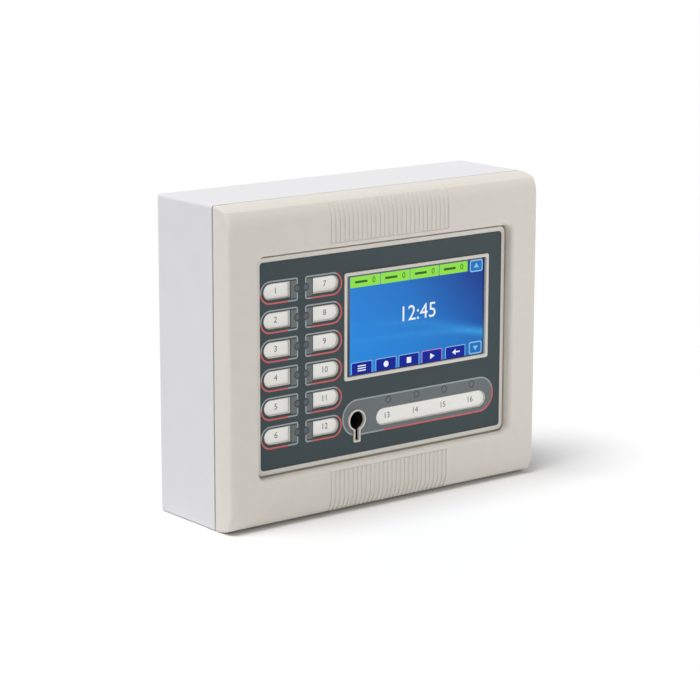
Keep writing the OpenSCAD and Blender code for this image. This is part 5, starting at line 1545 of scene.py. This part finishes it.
class PANEL_OT_ribbon(bpy.types.Operator):
    """Ribbon cable with a loop between the box and the cover"""
    bl_idname = "panel.ribbon"
    bl_label = "Ribbon cable"

    def execute(self, context):
        x, z = middle_of("ribbon_header")
        start, end = front_of("ribbon_header"), back_of("display_header")
        self.cable(x, z, start, end)
        self.clamps(x, z, start, end)
        return {"FINISHED"}

    def route(self, x, start, end):
        """Points of x and depth along the ribbon: out of one socket, round a loop and into the other."""
        middle = (start + end) / 2
        loop_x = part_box("ribbon_cable")[0].x / MM + LOOP_R + SOLID_HALF
        path = [(x, start)]
        path += arc((x - BEND_R, middle + LOOP_R + BEND_R), BEND_R, 360, 270, 10)
        path += arc((loop_x, middle), LOOP_R, 90, 270, 24)
        path += arc((x - BEND_R, middle - LOOP_R - BEND_R), BEND_R, 90, 0, 10)
        path += [(x, end)]
        fine = []
        for (x0, d0), (x1, d1) in zip(path, path[1:]):
            count = max(1, math.ceil(math.hypot(x1 - x0, d1 - d0) / RIBBON_STEP))
            fine += [(x0 + (x1 - x0) * i / count, d0 + (d1 - d0) * i / count) for i in range(count)]
        fine.append(path[-1])
        return fine

    def cable(self, x, z, start, end):
        """Ribbon with its conductors."""
        fine = self.route(x, start, end)
        shape = Shape()
        edges = [z - WIRES * WIRE_PITCH / 2 + WIRE_PITCH * i / 4 for i in range(WIRES * 4 + 1)]
        rings = []
        for i, (px, pd) in enumerate(fine):
            before, after = fine[max(i - 1, 0)], fine[min(i + 1, len(fine) - 1)]
            way = Vector((after[0] - before[0], after[1] - before[1])).normalized()
            ring = []
            for side in (1, -1):
                for k, height in enumerate(edges if side > 0 else reversed(edges)):
                    swell = abs(math.sin(math.pi * (k % 4) / 4))
                    half = WIRE_T / 2 * (WIRE_VALLEY + (1 - WIRE_VALLEY) * swell)
                    ring.append((px - side * way.y * half, pd + side * way.x * half, height))
            rings.append(ring)
        shape.rings(rings)
        piece = new_object("ribbon", shape.mesh("ribbon"))
        for face in piece.data.polygons:
            face.use_smooth = True
        piece.data.set_sharp_from_angle(angle=math.radians(ROUND_ANGLE))
        piece.data.materials.append(MATERIALS["ribbon"])
        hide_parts("ribbon_cable")
        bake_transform(piece)

    def clamps(self, x, z, start, end):
        """Two bars across each end of the ribbon."""
        tall = WIRES * WIRE_PITCH / 2 + CLAMP_OVER
        clamps = (("ribbon_clamp", start - CLAMP_HALF_D, "enclosure"),
                  ("display_clamp", end + CLAMP_HALF_D, "cover"))
        for name, depth, body in clamps:
            clamp = Shape()
            for bar in (x - BAR_OFF, x + BAR_OFF):
                clamp.block((bar - BAR_HALF_W, depth - CLAMP_HALF_D, z - tall),
                            (bar + BAR_HALF_W, depth + CLAMP_HALF_D, z + tall))
            built(name, clamp, "black plastic", body, "black_plastic", edge=0.25)


# Light: level of the sky; the sun's way, strength and spread in degrees; the fill's place, size and power
SKY_LEVEL = 0.38
SUN = ((-0.19, 0.0, 0.57), 2.3, 30)
FILL = ((0.36, -0.42, -0.05), 0.3, 0.42)
FLOOR_REACH = 4.0
# Camera, fitted to the photo: place in metres, yaw, pitch and roll in degrees, lens and sensor in millimetres
CAMERA_PLACE = (-0.8202, -1.0727, 0.2849)
CAMERA_TURN = (-38.182, 12.388, 0.131)
CAMERA_LENS = 126.19
SENSOR_W = 36
SIGHT = 20


class PANEL_OT_stage(bpy.types.Operator):
    """Pale floor, soft light and the camera"""
    bl_idname = "panel.stage"
    bl_label = "Stage"

    def execute(self, context):
        scene = context.scene
        scene.view_settings.view_transform = "Standard"
        self.floor()
        scene.world = self.sky()
        self.lights()
        scene.camera = self.camera()
        return {"FINISHED"}

    def floor(self):
        """Pale floor under the lowest point of the part."""
        floor_mesh = bpy.data.meshes.new("floor")
        height = CAD_BOX[0][2]
        corner_ways = ((-1, -1), (1, -1), (1, 1), (-1, 1))
        floor_mesh.from_pydata(
            [(x * FLOOR_REACH, y * FLOOR_REACH, height) for x, y in corner_ways], [], [(0, 1, 2, 3)])
        floor = new_object("floor", floor_mesh)
        floor_mesh.materials.append(MATERIALS["floor"])

    def sky(self):
        """White surroundings that light the part less than they show."""
        world = bpy.data.worlds.new("Studio")
        world.use_nodes = True
        tree = world.node_tree
        sky = tree.nodes["Background"]
        sky.inputs["Color"].default_value = (1, 1, 1, 1)
        path = add(tree, "ShaderNodeLightPath")
        seen = path.outputs["Is Camera Ray"]
        for ray in ("Is Glossy Ray", "Is Transmission Ray"):
            either = add(
                tree, "ShaderNodeMath", None, {0: seen, 1: path.outputs[ray]}, operation="MAXIMUM")
            seen = either.outputs[0]
        level = add(tree, "ShaderNodeMapRange", {"To Min": SKY_LEVEL, "To Max": 1.0}, {"Value": seen})
        tree.links.new(level.outputs["Result"], sky.inputs["Strength"])
        return world

    def lights(self):
        """Soft sun from above and a weak fill from the front right."""
        way, strength, spread = SUN
        light = bpy.data.lights.new("Key", "SUN")
        light.energy = strength
        light.angle = math.radians(spread)
        new_object("Key", light).rotation_euler = (-Vector(way)).to_track_quat("-Z", "Y").to_euler()
        spot, size, power = FILL
        light = bpy.data.lights.new("Fill", "AREA")
        light.shape = "DISK"
        light.size = size
        light.energy = power
        lamp = new_object("Fill", light)
        lamp.location = spot
        lamp.rotation_euler = (-Vector(spot)).to_track_quat("-Z", "Y").to_euler()

    def camera(self):
        """Camera that sees the part as the photo does."""
        yaw, pitch, roll = (math.radians(angle) for angle in CAMERA_TURN)
        camera = bpy.data.cameras.new("Camera")
        camera.sensor_width = SENSOR_W
        camera.lens = CAMERA_LENS
        camera.clip_end = SIGHT
        eye = new_object("Camera", camera)
        eye.location = CAMERA_PLACE
        eye.rotation_euler = (
            Matrix.Rotation(yaw, 3, "Z") @ Matrix.Rotation(math.pi / 2 - pitch, 3, "X")
            @ Matrix.Rotation(roll, 3, "Z")).to_euler()
        return eye


METAL = {"Metallic": 1.0}
SATIN = {"Specular IOR Level": 0.25}
# Each finish: title, colour as a hex value or a name in the sidebar, roughness, grain, relief, mottle
# and, where they are not the usual ones, stretch and sockets
FINISHES = {
    # Spark-eroded ABS moulding: a soft, even sheen and a fine grain, drawn coarse enough to show
    "cover": ("ABS moulding", "cover", 0.5, 0.5, 0.03),
    # Powder coat on steel: smoother and whiter, with a faint orange peel
    "powder coat": ("Powder coat", "box", 0.42, 1.2, 0.03),
    # Screen-printed polyester overlay: dark and satin, so it hardly mirrors the room
    "overlay": ("Overlay polyester", "overlay", 0.5, 0.3, 0.01, 0.03, (1, 1, 1), SATIN),
    # Overlay inks: flat tones with the slight mottle of screen printing
    "print grey": ("Overlay ink print grey", "616A6D", 0.45, 0.25, 0.004, 0.05),
    "print pale": ("Overlay ink print pale", "outline", 0.45, 0.25, 0.004, 0.05),
    "print red": ("Overlay ink print red", "accent", 0.45, 0.25, 0.004, 0.05),
    "print dark": ("Overlay ink print dark", "343B3F", 0.45, 0.25, 0.004, 0.05),
    "smoked film": ("Overlay ink smoked film", "525A5E", 0.45, 0.25, 0.004, 0.05),
    # Matt white card with paper fibres, behind a clear film that only adds a sheen
    "card": ("Label card", "FFFCF7", 0.7, 0.2, 0.01, 0.02, (1, 1, 4)),
    "window": ("Clear polyester", "FFFFFF", 0.12, 2.0, 0.004, 0, (1, 1, 1), {"Alpha": 0.03}),
    "ink": ("Black ink", "3C3D40", 0.6, 0.2, 0.004, 0.08),
    # Unlit lamp of grey epoxy with a milky unevenness
    "lamp": ("Diffused epoxy", "4A5256", 0.3, 0.8, 0.004, 0.1),
    # Black border of the touch glass: deep and smooth, with only a faint waviness
    "black glass": ("Black screen edge", "0A0B0D", 0.12, 3.0, 0.003, 0.1),
    # Matt rubber with a talc bloom
    "rubber": ("Black rubber", "26262A", 0.7, 0.8, 0.04, 0.12),
    # Zinc plate: cool and half bright, clouded by its passivation
    "zinc": ("Zinc plated steel", "C9CBCF", 0.32, 0.7, 0.006, 0.1, (1, 1, 1), METAL),
    # Brass: warm, with fine turning lines from front to back
    "brass": ("Turned brass", "D8B264", 0.28, 0.4, 0.006, 0.08, (1, 6, 1), METAL),
    # Tinplate: faint rolling lines across
    "lcd frame": ("Pressed tinplate", "C4C6C8", 0.35, 0.5, 0.006, 0.06, (0.2, 1, 4), METAL),
    # Tin on legs and joints: bright and a little lumpy
    "tin": ("Tinned copper", "D4D5D6", 0.26, 0.5, 0.02, 0.08, (1, 1, 1), METAL),
    # Moulded nylons and other plastics: a low sheen on a fine spark-eroded grain
    "black plastic": ("Black nylon", "1B1C1F", 0.45, 0.6, 0.02, 0.06),
    "white plastic": ("White nylon", "E4E1D8", 0.4, 0.6, 0.02, 0.06),
    "green plastic": ("Green polyamide", "3F8F4E", 0.42, 0.6, 0.02, 0.06),
    "grey plastic": ("Grey polyamide", "BFC1C4", 0.45, 0.6, 0.02, 0.06),
    "red plastic": ("Red acetal", "B8241E", 0.35, 0.6, 0.02, 0.06),
    "relay plastic": ("Relay polyester", "2B3A63", 0.35, 0.6, 0.02, 0.06),
    "battery case": ("Battery ABS", "3A3E44", 0.5, 0.6, 0.02, 0.06),
    # Chip epoxy: matt and speckled by its filler
    "chip epoxy": ("Chip epoxy", "232427", 0.55, 0.3, 0.015, 0.15),
    # Shrunk sleeve of a capacitor: glossy, with slight ripples
    "capacitor sleeve": ("Shrunk PVC", "1D2A55", 0.25, 1.5, 0.02, 0.06),
    # Clear glass of the fuse, seen mostly by its gloss
    "fuse glass": ("Fuse glass", "DDE3E6", 0.1, 2.0, 0.004, 0.02, (1, 1, 1), {"Alpha": 0.35}),
    # Soft PVC of the leads
    "red lead": ("Red PVC", "A31C1C", 0.4, 1.0, 0.02, 0.06),
    "black lead": ("Black PVC", "202124", 0.4, 1.0, 0.02, 0.1),
    # Solder mask over the glass weave of the board, and the paler tone where copper lies under it
    "solder mask": ("Solder mask", "1F6B3C", 0.35, 0.4, 0.012, 0.12),
    "track": ("Masked copper", "35894F", 0.35, 0.4, 0.008, 0.08),
    "silkscreen": ("Silkscreen ink", "DFE1DC", 0.6, 0.2, 0.008, 0.06),
    # Seamless pale paper, a touch uneven
    "floor": ("Pale floor", "F6F6F6", 0.9, 2.0, 0.02, 0.01),
}
LIT = {"lit green": "93E64A", "lit dark": "35632A", "lit navy": "14279A", "lit pale": "8FC4EA",
       "lit pink": "D48AC4", "lit blue": "1F74C0", "lit white": "F2F7FC"}
# Back light of the screen: strength, how uneven it is, and the size of its clouds in millimetres
BACK_LIGHT = 0.95
BACK_LIGHT_SPREAD = (0.93, 1.03)
BACK_LIGHT_CLOUD = 25


class PANEL_OT_materials(bpy.types.Operator):
    """Finishes of all pieces"""
    bl_idname = "panel.materials"
    bl_label = "Finishes"

    def execute(self, context):
        colours = context.scene.panel_colours
        for name, (title, code, *values) in FINISHES.items():
            tone = getattr(colours, code) if hasattr(colours, code) else linear(code)
            MATERIALS[name] = surface(title, tone, *values)
        for name, code in LIT.items():
            MATERIALS[name] = self.lit_material("Screen " + name, linear(code))
        MATERIALS["picture"] = self.lit_material("Screen picture", None)
        MATERIALS["ribbon"] = self.ribbon_material()
        return {"FINISHED"}

    def lit_material(self, name, tone):
        """Lit colour, or the piece's own picture, under glass, with a slightly uneven back light."""
        made = surface(name, linear("000000"), 0.15, 3.0, 0.002, 0,
                       sockets={"Emission Strength": BACK_LIGHT, "Specular IOR Level": 0.05})
        tree = made.node_tree
        spot = add(tree, "ShaderNodeTexCoord")
        size = {"Scale": 1 / (BACK_LIGHT_CLOUD * MM)}
        cloud = add(tree, "ShaderNodeTexNoise", size, {"Vector": spot.outputs["Object"]})
        least, most = BACK_LIGHT_SPREAD
        level = add(
            tree, "ShaderNodeMapRange", {"To Min": least, "To Max": most}, {"Value": cloud.outputs["Fac"]})
        shade = add(
            tree, "ShaderNodeMix", {0: 1.0}, {7: level.outputs["Result"]}, data_type="RGBA",
            blend_type="MULTIPLY")
        if tone is None:
            picture = add(tree, "ShaderNodeVertexColor", layer_name="Picture")
            tree.links.new(picture.outputs["Color"], shade.inputs[6])
        else:
            shade.inputs[6].default_value = (*tone, 1)
        tree.links.new(shade.outputs[2], tree.nodes["Principled BSDF"].inputs["Emission Color"])
        return made

    def ribbon_material(self):
        """Grey PVC whose top conductor is red, as ribbon cables mark their first wire."""
        made = surface("Grey ribbon PVC", linear("B4B6B9"), 0.45, 0.8, 0.01, 0.05)
        tree = made.node_tree
        shader = tree.nodes["Principled BSDF"]
        spot = add(tree, "ShaderNodeTexCoord")
        height = add(tree, "ShaderNodeSeparateXYZ", None, {0: spot.outputs["Object"]})
        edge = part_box("ribbon_cable")[1].z - WIRE_PITCH * MM
        first = add(tree, "ShaderNodeMath", {1: edge}, {0: height.outputs["Z"]}, operation="GREATER_THAN")
        grey = shader.inputs["Base Color"].links[0].from_socket
        red = (*linear("B23A34"), 1)
        tone = add(tree, "ShaderNodeMix", {7: red}, {0: first.outputs[0], 6: grey}, data_type="RGBA")
        tree.links.new(tone.outputs[2], shader.inputs["Base Color"])
        return made


class PANEL_PT_sidebar(bpy.types.Panel):
    """Sizes, colours and steps of the alarm panel"""
    bl_label = "Alarm panel"
    bl_idname = "PANEL_PT_sidebar"
    bl_space_type = "VIEW_3D"
    bl_region_type = "UI"
    bl_category = "Alarm panel"

    def draw(self, context):
        for group in (context.scene.panel_sizes, context.scene.panel_colours):
            for name in group.__annotations__:
                self.layout.prop(group, name)
        for operator in OPERATORS:
            self.layout.operator(operator.bl_idname)


OPERATORS = [
    PANEL_OT_materials, PANEL_OT_stage, PANEL_OT_box, PANEL_OT_cover, PANEL_OT_fascia, PANEL_OT_labels,
    PANEL_OT_screen, PANEL_OT_key, PANEL_OT_hinge, PANEL_OT_screws, PANEL_OT_inside, PANEL_OT_boards,
    PANEL_OT_power, PANEL_OT_batteries, PANEL_OT_ribbon]
CLASSES = [PanelSizes, PanelColours, *OPERATORS, PANEL_PT_sidebar]


def register():
    for item in CLASSES:
        bpy.utils.register_class(item)
    bpy.types.Scene.panel_sizes = PointerProperty(type=PanelSizes)
    bpy.types.Scene.panel_colours = PointerProperty(type=PanelColours)


def unregister():
    del bpy.types.Scene.panel_colours
    del bpy.types.Scene.panel_sizes
    for item in reversed(CLASSES):
        bpy.utils.unregister_class(item)


def main():
    register()
    for operator in OPERATORS:
        group, name = operator.bl_idname.split(".")
        getattr(getattr(bpy.ops, group), name)()
    bpy.context.view_layer.update()


if __name__ == "__main__":
    main()
